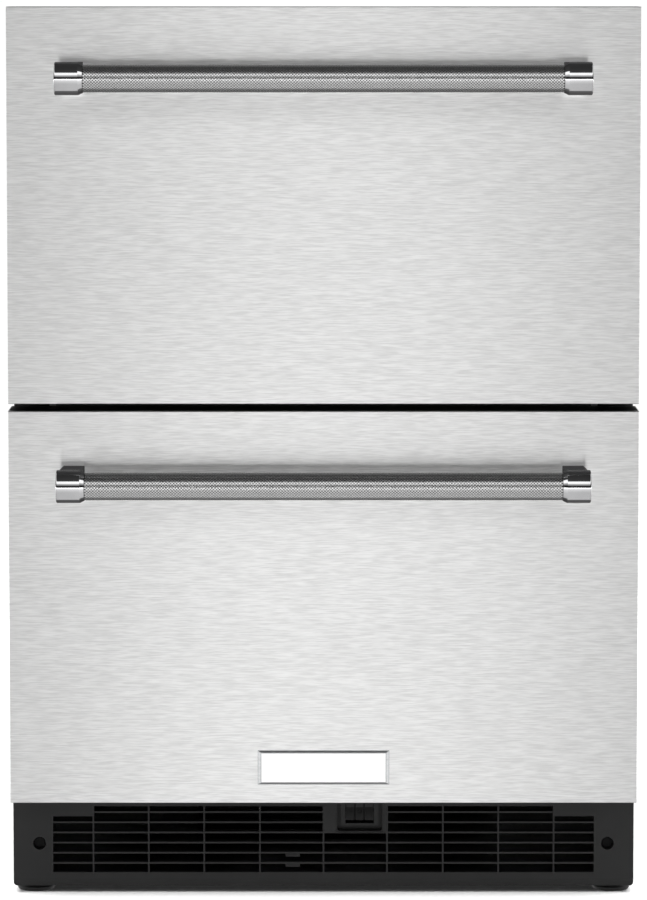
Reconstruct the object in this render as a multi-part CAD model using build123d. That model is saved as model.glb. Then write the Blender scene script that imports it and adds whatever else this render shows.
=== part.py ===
"""Under-counter refrigerator with two stacked drawers, as separate sub-parts in millimetres.

X runs to the right as seen from the front, -Y is the front, +Z is up. The origin is on the floor,
at the middle of the overall width and depth. Both drawers are shut.
"""

from build123d import *

import math
import os

# ---------------------------------------------------------------- driving dimensions
HEIGHT = 864.0
DEPTH = 660.0
FRONT_W = 606.0  # width of the drawer fronts
CABINET_W = 603.0
FRONT_H = 380.5  # height of one drawer front
FRONT_T = 52.0  # thickness of a drawer front
FRONT_GAP = 7.0  # between the two fronts
HANDLE_PROJECTION = 58.0
GASKET_T = 10.0
SHEET = 1.0  # steel sheet
EDGE_R = 0.9  # folded front edges of the drawer fronts
HEM = 5.0  # depth of the steel turned back at their top and bottom
END_CAP_H = 6.0
LINER = 2.0  # moulded plastic sheet
SIDE_FOAM = 38.0

# ---------------------------------------------------------------- levels along Y
HANDLE_FRONT = -DEPTH / 2
FACE = HANDLE_FRONT + HANDLE_PROJECTION  # front face of the drawer fronts
FRONT_BACK = FACE + FRONT_T
CABINET_FRONT = FRONT_BACK + GASKET_T
REAR = DEPTH / 2
GLAND_FLANGE = 4.0
CABINET_BACK = REAR - GLAND_FLANGE
CAVITY_REAR = CABINET_BACK - SHEET - SIDE_FOAM - LINER

# ---------------------------------------------------------------- levels along Z
UPPER_Z = (HEIGHT - FRONT_H, HEIGHT)
LOWER_Z = (UPPER_Z[0] - FRONT_GAP - FRONT_H, UPPER_Z[0] - FRONT_GAP)
CABINET_TOP = HEIGHT - 3.0
CEILING = CABINET_TOP - SHEET - SIDE_FOAM - LINER
DECK_TOP = LOWER_Z[0] - 1.0
CAVITY_FLOOR = DECK_TOP + SIDE_FOAM + LINER
MULLION_H = 40.0
MULLION_MID = (UPPER_Z[0] + LOWER_Z[1]) / 2
MULLION_Z = (MULLION_MID - MULLION_H / 2, MULLION_MID + MULLION_H / 2)

# ---------------------------------------------------------------- machine compartment and cavity
MACHINE_FRONT = 124.0
MACHINE_TOP = 214.0
HUMP_FRONT = MACHINE_FRONT - SIDE_FOAM
HUMP_TOP = MACHINE_TOP + SIDE_FOAM
CABINET_X = CABINET_W / 2
CAVITY_X = CABINET_X - SHEET - SIDE_FOAM - LINER
CAVITY_RADIUS = 10.0
FLANGE_INNER_X = CAVITY_X + 6.5  # where the liner's flange ends and the steel flange starts
FLANGE_INNER_TOP = CEILING + 6.5
FLANGE_INNER_BOTTOM = CAVITY_FLOOR - 6.5

# ---------------------------------------------------------------- handles
BAR_R = 13.0
FERRULE_R = 15.7
FERRULE_L = 26.5
HANDLE_L = 508.0
HANDLE_DROP = 67.5  # from the top of a front to the bar's axis
BAR_Y = HANDLE_FRONT + FERRULE_R
POST_W = 20.5  # at the drawer front
POST_H = 30.0
POST_INSET = 2.0  # the post's inner side, from the ferrule's inner end
SPIGOT_R = 10.0
SPIGOT_L = 16.0
STUD_R = 3.0
STUD_L = 12.0
FIT = 0.1  # radial clearance of parts that plug together
POST_X = HANDLE_L / 2 - FERRULE_L + POST_INSET + POST_W / 2  # middle of a post's foot

# ---------------------------------------------------------------- badge
BADGE_W = 127.0
BADGE_H = 33.4
BADGE_T = 2.2
BADGE_BEVEL = 1.5
BADGE_RISE = 34.8  # from the front's lower edge to the badge's middle

# ---------------------------------------------------------------- drawers
BIN_X = 240.0
BIN_FRONT = -199.0
BIN_REAR = 205.0
BIN_WALL = 2.5
BIN_STEP_Y = HUMP_FRONT - 16.0
BIN_STEP_Z = HUMP_TOP + 10.0
BIN_RADIUS = 18.0
RIM_T = 3.0
RIM_W = 8.0
UPPER_BIN_Z = (MULLION_Z[1] + 12.0, CEILING - 36.0)
LOWER_BIN_Z = (CAVITY_FLOOR + 13.0, MULLION_Z[0] - 14.0)
DYKE_X = CAVITY_X - 8.5
DYKE_BACK = -204.0
DYKE_CLEAR = 8.0  # between the dyke and the cavity's floor, ceiling or centre rail

# ---------------------------------------------------------------- telescopic rails
RAIL_DROP = 46.0  # from the top of a bin's rim to the rail's middle
RAIL_FRONT = -200.0
RAIL_REAR = 205.0
RAIL_T = 1.2
OUTER_RAIL = (CAVITY_X - 10.5, CAVITY_X, 45.0)  # inner x, outer x, height
MIDDLE_RAIL = (CAVITY_X - 12.0, CAVITY_X - 3.7, 38.0)
INNER_RAIL = (CAVITY_X - 12.5, CAVITY_X - 5.9, 31.0)
SIDE_PLATE_T = 1.2
TAB_W = 10.0  # front flange that the drawer front is screwed to

# ---------------------------------------------------------------- toe kick and feet
KICK_W = 605.0
KICK_FACE = FACE + 34.0
KICK_Z = (7.0, LOWER_Z[0] - 1.5)
KICK_T = 3.0
KICK_RIB_DEPTH = 12.0
SLOT_Z = 20.8  # underside of the lowest slot
SLOT_H = 8.45
SLOT_PITCH = 10.05
SLOT_ROWS = 7
SHORT_SLOT_H = 5.2  # in the top row, and at the top of the outer columns
RIB_T = 1.6
RIB_X = (0.0, 62.0, 116.4, 170.5, 224.5, 264.6)  # ribs on one side, from the middle out
SCREW_X = 277.0
SCREW_Z = 49.5
FOOT_X = 282.0
FOOT_FRONT_Y = -212.0
FOOT_REAR_Y = 296.0
FOOT_R = 18.2
STEM_R = 5.0
TRAY_Z = 10.0

# ---------------------------------------------------------------- switch in the toe kick
SWITCH_X = (12.3, 58.1)
SWITCH_Z = (60.3, 93.7)
SWITCH_MID_X = sum(SWITCH_X) / 2
ROCKER_W = 27.0
ROCKER_H = 19.0
SWITCH_WALL = 1.0
MOAT_DEPTH = 9.0  # the dark channel round the bezel
BEZEL_W = 36.8
BEZEL_LOW = 66.6
SWITCH_CORNER_R = 2.4
ROCKER_Z = 80.0
ROCKER_CREASE = 3.0  # the face's crease, above the pivot
ROCKER_TILT = 10.0  # degrees each way about the middle
ROCKER_PIVOT_Y = KICK_FACE + 11.5
ROCKER_PIN_R = 2.0
RUNNING_FIT = 0.06  # radial

# ---------------------------------------------------------------- fans
CONDENSER_FAN_R = 64.0
FAN_Y = 222.0
FAN_Z = 108.0
EVAPORATOR_FAN_R = 48.0
SHROUD_X = (22.0, 25.0)
MOTOR_FACE_X = -8.0
EVAPORATOR_FAN_Z = 712.0
EVAPORATOR_FAN_Y = 246.0  # front of the blades
EVAPORATOR_MOTOR_Y = 264.0
SHAFT_R = 2.5

# ---------------------------------------------------------------- refrigeration
COMPRESSOR = (-165.0, 222.0)  # x and y of its axis
COMPRESSOR_R = 72.0
LEG_Z = 27.0
GROMMETS = [(COMPRESSOR[0] + i * 84, COMPRESSOR[1] + j * 62) for i in (-1, 1) for j in (-1, 1)]
COVER_X = 215.0  # the cold coil's cover
COVER_Y = (228.0, CAVITY_REAR)
COVER_Z = (516.0, 796.0)
SUCTION_R = 4.0
CHANNEL_CLEAR = 0.6
PIPE_Y = CABINET_BACK - SHEET - 16.0
DRIER = (226.0, 250.0)
DRIER_Z = (72.0, 150.0)

# ---------------------------------------------------------------- mounts
COUNTER_HOLE_X = 240.0
COUNTER_HOLE_Y = CABINET_FRONT - 4.5
COUNTER_HOLE_R = 2.4
GLAND_X = 240.0
GLAND_Z = 40.0
GLAND_BORE_R = 4.5

# ---------------------------------------------------------------- controls
PANEL_X = 140.0
PANEL_Y = (-188.0, -120.0)
PANEL_Z = (CEILING - 26.0, CEILING)
BUTTON_W = 24.0
BUTTON_H = 10.0
BUTTON_XS = {"power_button": -104.0, "colder_button": 66.0, "warmer_button": 104.0}
BUTTON_Z = (PANEL_Z[0] + PANEL_Z[1]) / 2


# ================================================================ helpers
def block(x, y, z):
    """A box from three (low, high) pairs."""
    middle = [(a[0] + a[1]) / 2 for a in (x, y, z)]
    return Pos(*middle) * Box(*[a[1] - a[0] for a in (x, y, z)])


def both_ways(half):
    """The pair (-half, half)."""
    return (-half, half)


def rod(start, axis, radius, length):
    """A cylinder from start along axis."""
    bottom_up = (Align.CENTER, Align.CENTER, Align.MIN)
    return Plane(origin=start, z_dir=axis) * Cylinder(radius, length, align=bottom_up)


def bent_tube(points, radius, bend):
    """A round tube or wire along straight runs joined by arcs."""
    path = FilletPolyline(*points, radius=bend)
    section = Plane(origin=path @ 0, z_dir=path % 0) * Circle(radius)
    return sweep(section, path=path)


def side_profile(points, x):
    """A closed outline of (y, z) points, extruded over the (low, high) pair x."""
    outline = make_face(Polyline(*[(0, y, z) for y, z in points], close=True).edges())
    return Pos(x[0], 0, 0) * extrude(outline, amount=x[1] - x[0], dir=(1, 0, 0))


def mirrored(shape):
    """The same shape on the other side of the middle plane."""
    return mirror(shape, about=Plane.YZ)


def pair(shape):
    """A shape with its mirror image, as two separate solids."""
    return Compound(children=[*shape.solids(), *mirrored(shape).solids()])


def edges_along(shape, axis):
    return shape.edges().filter_by(axis)


def save(name, shape):
    """Writes one sub-part as parts/NAME.step."""
    export_step(shape, os.path.join("parts", name + ".step"))


# ================================================================ cabinet
def cavity(grow):
    """The space inside the cabinet with its step over the machine compartment, made larger by grow."""
    points = [
        (CABINET_FRONT - 1, CAVITY_FLOOR - grow),
        (HUMP_FRONT - LINER + grow, CAVITY_FLOOR - grow),
        (HUMP_FRONT - LINER + grow, HUMP_TOP + LINER - grow),
        (CAVITY_REAR + grow, HUMP_TOP + LINER - grow),
        (CAVITY_REAR + grow, CEILING + grow),
        (CABINET_FRONT - 1, CEILING + grow),
    ]
    space = side_profile(points, both_ways(CAVITY_X + grow))
    inside = [e for e in space.edges() if e.center().Y > CABINET_FRONT - 0.5]
    return fillet(inside, CAVITY_RADIUS + grow)


def front_ring(outer_x, outer_z, inner_x, inner_z):
    """One thickness of sheet across the cabinet's front, with an opening."""
    y = (CABINET_FRONT, CABINET_FRONT + SHEET)
    return block(both_ways(outer_x), y, outer_z) - block(
        both_ways(inner_x), (y[0] - 1, y[1] + 1), inner_z
    )


def outer_wrapper():
    """Painted steel sides and top, with the flange that the gaskets close on."""
    back = CABINET_BACK - SHEET
    shell = block(both_ways(CABINET_X), (CABINET_FRONT, back), (14, CABINET_TOP))
    inside_x = CABINET_X - SHEET
    shell -= block(both_ways(inside_x), (CABINET_FRONT - 1, back + 1), (13, CABINET_TOP - SHEET))
    flange = front_ring(
        inside_x,
        (DECK_TOP, CABINET_TOP - SHEET),
        FLANGE_INNER_X,
        (DECK_TOP - 1, FLANGE_INNER_TOP),
    )
    return shell + flange


def cabinet_foam(pipe_channel):
    """Insulation between the steel and the liner, with the pipe channel through its back."""
    inside_x = CABINET_X - SHEET
    foam = block(
        both_ways(inside_x),
        (CABINET_FRONT + SHEET, CABINET_BACK - SHEET),
        (DECK_TOP, CABINET_TOP - SHEET),
    )
    foam -= block(
        both_ways(CABINET_X), (MACHINE_FRONT, CABINET_BACK), (DECK_TOP - 1, MACHINE_TOP)
    )
    return foam - cavity(LINER) - pipe_channel


def inner_liner(pipe_channel):
    """The moulded white inside of the cabinet, with a narrow flange at the front."""
    liner = cavity(LINER) & block(
        both_ways(CABINET_X), (CABINET_FRONT, CABINET_BACK), (0, HEIGHT)
    )
    liner += front_ring(
        FLANGE_INNER_X,
        (FLANGE_INNER_BOTTOM, FLANGE_INNER_TOP),
        CAVITY_X - CAVITY_RADIUS,
        (CAVITY_FLOOR + CAVITY_RADIUS, CEILING - CAVITY_RADIUS),
    )
    return liner - cavity(0) - pipe_channel


def machine_deck():
    """Stepped steel sheet under the insulation, roof of the air duct and the machine compartment."""
    low = DECK_TOP - SHEET
    x = both_ways(CABINET_X - SHEET)
    deck = block(x, (CABINET_FRONT + SHEET, MACHINE_FRONT + SHEET), (low, DECK_TOP))
    deck += block(x, (MACHINE_FRONT, MACHINE_FRONT + SHEET), (low, MACHINE_TOP))
    roof = (MACHINE_TOP - SHEET, MACHINE_TOP)
    deck += block(x, (MACHINE_FRONT, CABINET_BACK - SHEET), roof)
    lip = (CABINET_FRONT, CABINET_FRONT + SHEET)
    deck += block(both_ways(FLANGE_INNER_X), lip, (low, FLANGE_INNER_BOTTOM))
    return deck


def mullion():
    """Hollow rail across the front between the two drawers, which both gaskets close on."""
    wall = 3.0
    y = (CABINET_FRONT, CABINET_FRONT + 60)
    rail = fillet(edges_along(block(both_ways(CAVITY_X), y, MULLION_Z), Axis.X), 1.5)
    hollow_z = (MULLION_Z[0] + wall, MULLION_Z[1] - wall)
    return rail - block(both_ways(CAVITY_X - wall), (y[0] + wall, y[1] + 1), hollow_z)


def back_panel():
    panel = block(
        both_ways(CABINET_X),
        (CABINET_BACK - SHEET, CABINET_BACK),
        (MACHINE_TOP, CABINET_TOP),
    )
    return fillet(edges_along(panel, Axis.Y), 3)


def counter_brackets():
    """Two strips on the cabinet's top, each with a hole for a screw up into the worktop."""
    strip = block(
        (COUNTER_HOLE_X - 20, COUNTER_HOLE_X + 20),
        (FRONT_BACK + 1, CABINET_FRONT + 60),
        (CABINET_TOP, CABINET_TOP + 2),
    )
    strip -= rod((COUNTER_HOLE_X, COUNTER_HOLE_Y, CABINET_TOP - 1), (0, 0, 1), COUNTER_HOLE_R, 4)
    return pair(strip)


# ================================================================ base
def foot_bracket(y):
    """Block that takes a foot's stem, on the right side."""
    bracket = block((264, 298), (y - 14, y + 22), (TRAY_Z, 60))
    return bracket - rod((FOOT_X, y, 0), (0, 0, 1), STEM_R + FIT, 42)


def base_frame():
    """Steel tray that carries the machine and the feet."""
    tray_x = CABINET_X - SHEET
    y = (CABINET_FRONT + SHEET, CABINET_BACK - SHEET - 2)
    profile = [
        (y[0], TRAY_Z),
        (y[1], TRAY_Z),
        (y[1], MACHINE_TOP - SHEET),
        (MACHINE_FRONT + SHEET, MACHINE_TOP - SHEET),
        (MACHINE_FRONT + SHEET, DECK_TOP - SHEET),
        (y[0], DECK_TOP - SHEET),
    ]
    tray = side_profile(profile, both_ways(tray_x))
    hollow_x = tray_x - 1.5
    tray -= block(both_ways(hollow_x), (y[0] - 1, y[1] + 1), (TRAY_Z + 2, MACHINE_TOP))
    for foot_y in (FOOT_FRONT_Y, FOOT_REAR_Y):
        bores = rod((FOOT_X, foot_y, 0), (0, 0, 1), STEM_R + FIT, 20)
        tray -= bores + mirrored(bores)
        bracket = foot_bracket(foot_y)
        tray += bracket + mirrored(bracket)
    for x in (SCREW_X, -SCREW_X):
        tray -= rod((x, FOOT_FRONT_Y - 20, SCREW_Z), (0, 1, 0), 2.0, 20)
    return tray


def foot(x, y):
    """Levelling foot: a disc on a threaded stem."""
    disc = fillet(rod((x, y, 0), (0, 0, 1), FOOT_R, 6).edges(), 1.5)
    nut = Pos(x, y, 6) * extrude(RegularPolygon(8, 6), 3)
    stem = rod((x, y, 6), (0, 0, 1), STEM_R, 32)
    return disc + nut + stem


def toe_kick_grille():
    """Black moulded grille under the lower drawer: deep slots, a switch opening and two screw bosses."""
    low, high = KICK_Z
    front, back = KICK_FACE, KICK_FACE + KICK_T
    profile = [
        (front, high),
        (front, low + 7),
        (front + 3.5, low),
        (back + 3.5, low),
        (back, low + 7),
        (back, high),
    ]
    grille = side_profile(profile, both_ways(KICK_W / 2))
    rib_zone = both_ways(RIB_X[-1] + RIB_T)
    grille += block(rib_zone, (front, front + KICK_RIB_DEPTH), (SLOT_Z - RIB_T, high))
    for side in (1, -1):
        return_x = sorted((side * KICK_W / 2, side * (KICK_W / 2 - KICK_T)))
        grille += block(return_x, (front, CABINET_FRONT), (low + 7, high))
    rounded = extrude(
        Plane.XZ.offset(-DEPTH) * Pos(0, (low + high) / 2) * RectangleRounded(
            KICK_W, high - low, 3.5
        ),
        2 * DEPTH,
    )
    grille &= rounded
    for slot in kick_slots():
        grille -= slot
    grille -= block(SWITCH_X, (front - 1, front + KICK_RIB_DEPTH + 1), SWITCH_Z)
    for side in (1, -1):
        centre = (side * SCREW_X, front, SCREW_Z)
        grille += rod(centre, (0, 1, 0), 8.5, KICK_RIB_DEPTH)
        grille -= rod((centre[0], front - 1, SCREW_Z), (0, 1, 0), 6.3, KICK_RIB_DEPTH - 1)
        grille -= rod((centre[0], front - 1, SCREW_Z), (0, 1, 0), 2.3, KICK_RIB_DEPTH + 2)
    for row in (0, 1):  # two clip tabs that hang in the lowest slots
        top = SLOT_Z + row * SLOT_PITCH + SLOT_H
        grille += block((-37, -23), (front + 2, front + 8), (top - 3.4, top + 1))
    return grille


def kick_slots():
    """The cutters of the slots, column by column and row by row."""
    depth = (KICK_FACE - 1, KICK_FACE + KICK_RIB_DEPTH + 1)
    last = len(RIB_X) - 2
    for side in (1, -1):
        for column in range(last + 1):
            x = sorted((side * (RIB_X[column] + RIB_T / 2), side * (RIB_X[column + 1] - RIB_T / 2)))
            for row in range(SLOT_ROWS):
                z = SLOT_Z + row * SLOT_PITCH
                height = SLOT_H
                beside_switch = side == 1 and column == 0 and row >= SLOT_ROWS - 3
                corner = column == last and row == SLOT_ROWS - 1
                if beside_switch or corner:
                    continue
                if row == SLOT_ROWS - 1 or (column == last and row == SLOT_ROWS - 2):
                    height = SHORT_SLOT_H
                yield block(x, depth, (z, z + height))


def toe_kick_screws():
    """Two hexagon-headed screws, deep in the grille's bosses."""
    head_y = KICK_FACE + KICK_RIB_DEPTH - 2
    head = extrude(
        Plane(origin=(SCREW_X, head_y, SCREW_Z), z_dir=(0, -1, 0)) * RegularPolygon(5, 6), 4
    )
    shank = rod((SCREW_X, head_y, SCREW_Z), (0, 1, 0), 1.95, 8)
    return pair(head + shank)


# ================================================================ switch
def switch_housing():
    """Snap-in pocket behind the toe kick, with a raised bezel round the rocker."""
    front, back = KICK_FACE + 1, KICK_FACE + 30
    x = (SWITCH_X[0] + FIT, SWITCH_X[1] - FIT)
    z = (SWITCH_Z[0] + FIT, SWITCH_Z[1] - FIT)
    body = block(x, (front, back), z)
    wall = SWITCH_WALL
    moat = block((x[0] + wall, x[1] - wall), (front - 1, front + MOAT_DEPTH), (z[0] + wall, z[1] - wall))
    bezel_x = (SWITCH_MID_X - BEZEL_W / 2, SWITCH_MID_X + BEZEL_W / 2)
    bezel = block(bezel_x, (front + 2, front + MOAT_DEPTH + 1), (BEZEL_LOW, z[1] - wall))
    body -= round_lower_corners(moat)
    body += round_lower_corners(bezel)
    swing = ROCKER_H / 2 + 1.8  # half of the pocket's height, which both ends tip into
    pocket_z = (ROCKER_Z - swing, ROCKER_Z + swing)
    half = ROCKER_W / 2 + 0.4
    pocket_x = (SWITCH_MID_X - half, SWITCH_MID_X + half)
    body -= block(pocket_x, (front - 1, front + 22), pocket_z)
    pin_reach = ROCKER_W / 2 + 2.4
    start = (SWITCH_MID_X - pin_reach, ROCKER_PIVOT_Y, ROCKER_Z)
    return body - rod(start, (1, 0, 0), ROCKER_PIN_R + RUNNING_FIT, 2 * pin_reach)


def round_lower_corners(shape):
    """Rounds the two lowest edges that run front to back."""
    return fillet(shape.edges().filter_by(Axis.Y).group_by(Axis.Z)[0], SWITCH_CORNER_R)


def rocker():
    """The switch's rocker: a shallow V seen from the side, with two pivot stubs inside."""
    pivot = Location((SWITCH_MID_X, ROCKER_PIVOT_Y, ROCKER_Z))
    half = ROCKER_H / 2
    crown = [(-9.0, -half), (-7.4, ROCKER_CREASE), (-9.0, half), (3, half - 4), (3, 4 - half)]
    body = side_profile(crown, both_ways(ROCKER_W / 2))
    for x in (-ROCKER_W / 6, ROCKER_W / 6):  # grooves between the three ribs of its face
        body -= block((x - 0.65, x + 0.65), (-12, -5.8), both_ways(half + 1))
    pin_reach = ROCKER_W / 2 + 2.0
    body += rod((-pin_reach, 0, 0), (1, 0, 0), ROCKER_PIN_R, 2 * pin_reach)
    return pivot * Rot(-ROCKER_TILT, 0, 0) * body


# ================================================================ drawer fronts
def front_skin(z):
    """Brushed steel pan: face, both sides, and narrow hems at the top and bottom."""
    x = FRONT_W / 2
    pan = block(both_ways(x), (FACE, FRONT_BACK), z)
    pan = fillet(pan.faces().sort_by(Axis.Y)[0].edges(), EDGE_R)
    inside_x = both_ways(x - SHEET)
    pan -= block(inside_x, (FACE + SHEET, FRONT_BACK + 1), (z[0] + SHEET, z[1] - SHEET))
    pan -= block(inside_x, (FACE + HEM, FRONT_BACK + 1), (z[0] - 1, z[1] + 1))
    handle_z = z[1] - HANDLE_DROP
    for side in (1, -1):
        pan -= rod((side * POST_X, FACE - 1, handle_z), (0, 1, 0), STUD_R + FIT, 4)
    return pan


def front_end_caps(z):
    """Black plastic strips that close the top and bottom of the pan."""
    x = both_ways(FRONT_W / 2 - SHEET)
    y = (FACE + SHEET, FRONT_BACK)
    hem = (FACE, FACE + HEM)
    low = block(x, y, (z[0], z[0] + END_CAP_H)) - block(x, hem, (z[0] - 1, z[0] + SHEET))
    high = block(x, y, (z[1] - END_CAP_H, z[1])) - block(x, hem, (z[1] - SHEET, z[1] + 1))
    return Compound(children=[low.solid(), high.solid()])


def dyke_z(opening):
    return (opening[0] + DYKE_CLEAR, opening[1] - DYKE_CLEAR)


def dyke(opening, shrink):
    """The raised middle of a drawer front's inner panel, made smaller by shrink."""
    z = dyke_z(opening)
    shape = block(
        both_ways(DYKE_X - shrink),
        (FRONT_BACK - LINER, DYKE_BACK - shrink),
        (z[0] + shrink, z[1] - shrink),
    )
    back = shape.faces().sort_by(Axis.Y)[-1]
    upright = edges_along(shape, Axis.Y)
    return fillet([*upright, *back.edges()], 7 - shrink)


def front_foam(z, opening):
    """Insulation inside a drawer front."""
    inside = (z[0] + END_CAP_H, z[1] - END_CAP_H)
    y = (FACE + SHEET, FRONT_BACK - LINER)
    foam = block(both_ways(FRONT_W / 2 - SHEET), y, inside)
    foam += dyke(opening, LINER)
    handle_z = z[1] - HANDLE_DROP
    for side in (1, -1):
        foam -= rod((side * POST_X, FACE, handle_z), (0, 1, 0), STUD_R + FIT, STUD_L + 1)
    return foam


def front_inner_panel(z, opening):
    """White moulded panel on the back of a drawer front."""
    inside = (z[0] + END_CAP_H, z[1] - END_CAP_H)
    panel = block(both_ways(FRONT_W / 2 - SHEET), (FRONT_BACK - LINER, FRONT_BACK), inside)
    panel += dyke(opening, 0)
    return panel - dyke(opening, LINER)


def gasket(top, bottom):
    """Soft rectangular seal; top and bottom are the heights of its middle line."""
    half = 7.0
    middle_x = (FLANGE_INNER_X + CABINET_X) / 2 - 3
    y = (FRONT_BACK, CABINET_FRONT)
    ring = block(both_ways(middle_x + half), y, (bottom - half, top + half))
    ring = fillet(edges_along(ring, Axis.Y), 5)
    hole = block(
        both_ways(middle_x - half), (y[0] - 1, y[1] + 1), (bottom + half, top - half)
    )
    return ring - hole


# ================================================================ handles
def handle_bar(z_top):
    """Round grip with a spigot at each end."""
    z = z_top - HANDLE_DROP
    grip = HANDLE_L / 2 - FERRULE_L
    bar = rod((-grip, BAR_Y, z), (1, 0, 0), BAR_R, 2 * grip)
    reach = grip + SPIGOT_L
    return bar + rod((-reach, BAR_Y, z), (1, 0, 0), SPIGOT_R, 2 * reach)


def handle_posts(z_top):
    """Polished end pieces: a ferrule round the bar's end and a post to the drawer front."""
    z = z_top - HANDLE_DROP
    inner = HANDLE_L / 2 - FERRULE_L
    ferrule = rod((inner, BAR_Y, z), (1, 0, 0), FERRULE_R, FERRULE_L)
    ends = ferrule.edges().filter_by(GeomType.CIRCLE).sort_by(Axis.X)
    ferrule = chamfer(ends[0], 2.0, 4.0, reference=ferrule.faces().sort_by(Axis.X)[0])
    outer_end = ferrule.edges().filter_by(GeomType.CIRCLE).sort_by(Axis.X)[-1]
    ferrule = fillet(outer_end, 1.2)
    low = z - POST_H / 2
    outline = [
        (POST_X - POST_W / 2, FACE),
        (POST_X - POST_W / 2, BAR_Y),
        (HANDLE_L / 2 - 1.5, BAR_Y),
        (POST_X + POST_W / 2, FACE),
    ]
    foot = make_face(Polyline(*[(a, b, low) for a, b in outline], close=True).edges())
    post = extrude(foot, amount=POST_H, dir=(0, 0, 1))
    post = fillet([e for e in post.edges() if BAR_Y + 1 < e.center().Y < FACE - 1], 0.8)
    piece = ferrule + post
    piece -= rod((inner - 1, BAR_Y, z), (1, 0, 0), SPIGOT_R + FIT, SPIGOT_L + 2)
    piece += rod((POST_X, FACE - 1, z), (0, 1, 0), STUD_R, STUD_L + 1)
    return pair(piece)


def badge():
    """Plain raised plate near the bottom of the lower front."""
    z = LOWER_Z[0] + BADGE_RISE
    plate = block(both_ways(BADGE_W / 2), (FACE - BADGE_T, FACE), (z - BADGE_H / 2, z + BADGE_H / 2))
    rim = plate.faces().sort_by(Axis.Y)[0].edges()
    return chamfer(rim, BADGE_BEVEL)


# ================================================================ bins and rails
def bin_space(z, stepped, shrink):
    """The outer shape of a bin, made smaller by shrink on all sides but the top."""
    low = z[0] + shrink
    front, rear = BIN_FRONT + shrink, BIN_REAR - shrink
    if stepped:
        step_y, step_z = BIN_STEP_Y - shrink, BIN_STEP_Z + shrink
        points = [(front, low), (step_y, low), (step_y, step_z), (rear, step_z), (rear, z[1]), (front, z[1])]
    else:
        points = [(front, low), (rear, low), (rear, z[1]), (front, z[1])]
    space = side_profile(points, both_ways(BIN_X - shrink))
    below_rim = [e for e in space.edges() if e.center().Z < z[1] - 1]
    return fillet(below_rim, BIN_RADIUS - shrink)


def drawer_bin(z, stepped):
    """Open tub with a turned-out rim."""
    tub = bin_space(z, stepped, 0)
    rim = block(
        both_ways(BIN_X + RIM_W - 1), (BIN_FRONT - 2, BIN_REAR + 4), (z[1] - RIM_T, z[1])
    )
    rim = fillet(edges_along(rim, Axis.Z), 8)
    hollow = bin_space(z, stepped, BIN_WALL)
    return tub + rim - hollow


def channel(size, opens_inwards, middle_z):
    """A C-shaped rail member on the right side."""
    inner_x, outer_x, height = size
    y = (RAIL_FRONT, RAIL_REAR)
    z = (middle_z - height / 2, middle_z + height / 2)
    rail = block((inner_x, outer_x), y, z)
    open_x = (inner_x - 1, outer_x - RAIL_T) if opens_inwards else (inner_x + RAIL_T, outer_x + 1)
    groove_z = (z[0] + RAIL_T, z[1] - RAIL_T)
    return rail - block(open_x, (y[0] - 1, y[1] + 1), groove_z)


def inner_rail(rim_z, middle_z):
    """The drawer's own rail member: channel, side plate under the bin's rim, and front flange."""
    rail = channel(INNER_RAIL, False, middle_z)
    plate_x = (INNER_RAIL[0] - SIDE_PLATE_T, INNER_RAIL[0])
    shelf_top = rim_z - RIM_T
    rail += block(plate_x, (DYKE_BACK, RAIL_REAR), (middle_z - INNER_RAIL[2] / 2, shelf_top))
    shelf_z = (shelf_top - SIDE_PLATE_T, shelf_top)
    rail += block((BIN_X + 1, INNER_RAIL[0]), (RAIL_FRONT, RAIL_REAR), shelf_z)
    tab_x = (INNER_RAIL[0] - TAB_W, INNER_RAIL[0])
    tab_z = (middle_z - 26, shelf_top)
    return rail + block(tab_x, (DYKE_BACK, DYKE_BACK + 1.5), tab_z)


def rail_sets(rim_z):
    """The outer, middle and inner members of one drawer's two slides."""
    middle_z = rim_z - RAIL_DROP
    return (
        pair(channel(OUTER_RAIL, True, middle_z)),
        pair(channel(MIDDLE_RAIL, True, middle_z)),
        pair(inner_rail(rim_z, middle_z)),
    )


# ================================================================ refrigeration
def serpentine(x, rows, row_pitch, low_z, y, radius, along_x=False):
    """A tube that runs back and forth, one row above the other, in a plane across the air flow."""
    points = []
    for row in range(rows):
        z = low_z + row * row_pitch
        ends = y if row % 2 == 0 else (y[1], y[0])
        points += [(e, x, z) if along_x else (x, e, z) for e in ends]
    return bent_tube(points, radius, 0.45 * row_pitch)


def condenser_coil():
    """Hot coil: two serpentine tubes through a stack of thin plates."""
    coil = None
    for x in (96.0, 152.0):
        tube = serpentine(x, 6, 28.0, 36.0, (138.0, 306.0), 4.5)
        coil = tube if coil is None else coil + tube
    for index in range(15):
        y = 156.0 + index * 9.5
        coil += block((70, 178), (y, y + 0.8), (22, 192))
    return coil + block((94, 154), (136, 141), (33, 39))


def evaporator_coil():
    """Cold coil behind its cover: a serpentine tube through upright plates."""
    coil = serpentine(262.0, 4, 26.0, 545.0, (170.0, -170.0), 4.5, along_x=True)
    for index in range(31):
        x = -150.0 + index * 10
        coil += block((x - 0.4, x + 0.4), (246, 278), (530, 638))
    return coil


def compressor_can():
    """The welded can alone, without legs."""
    x, y = COMPRESSOR
    lower = rod((x, y, LEG_Z + 3), (0, 0, 1), COMPRESSOR_R, 74)
    lower = fillet(lower.edges().sort_by(Axis.Z)[0], 18)
    upper = rod((x, y, LEG_Z + 77), (0, 0, 1), COMPRESSOR_R - 2, 86)
    upper = fillet(upper.edges().sort_by(Axis.Z)[-1], 34)
    seam = rod((x, y, LEG_Z + 74), (0, 0, 1), COMPRESSOR_R + 3, 5)
    return lower + upper + seam


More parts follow.
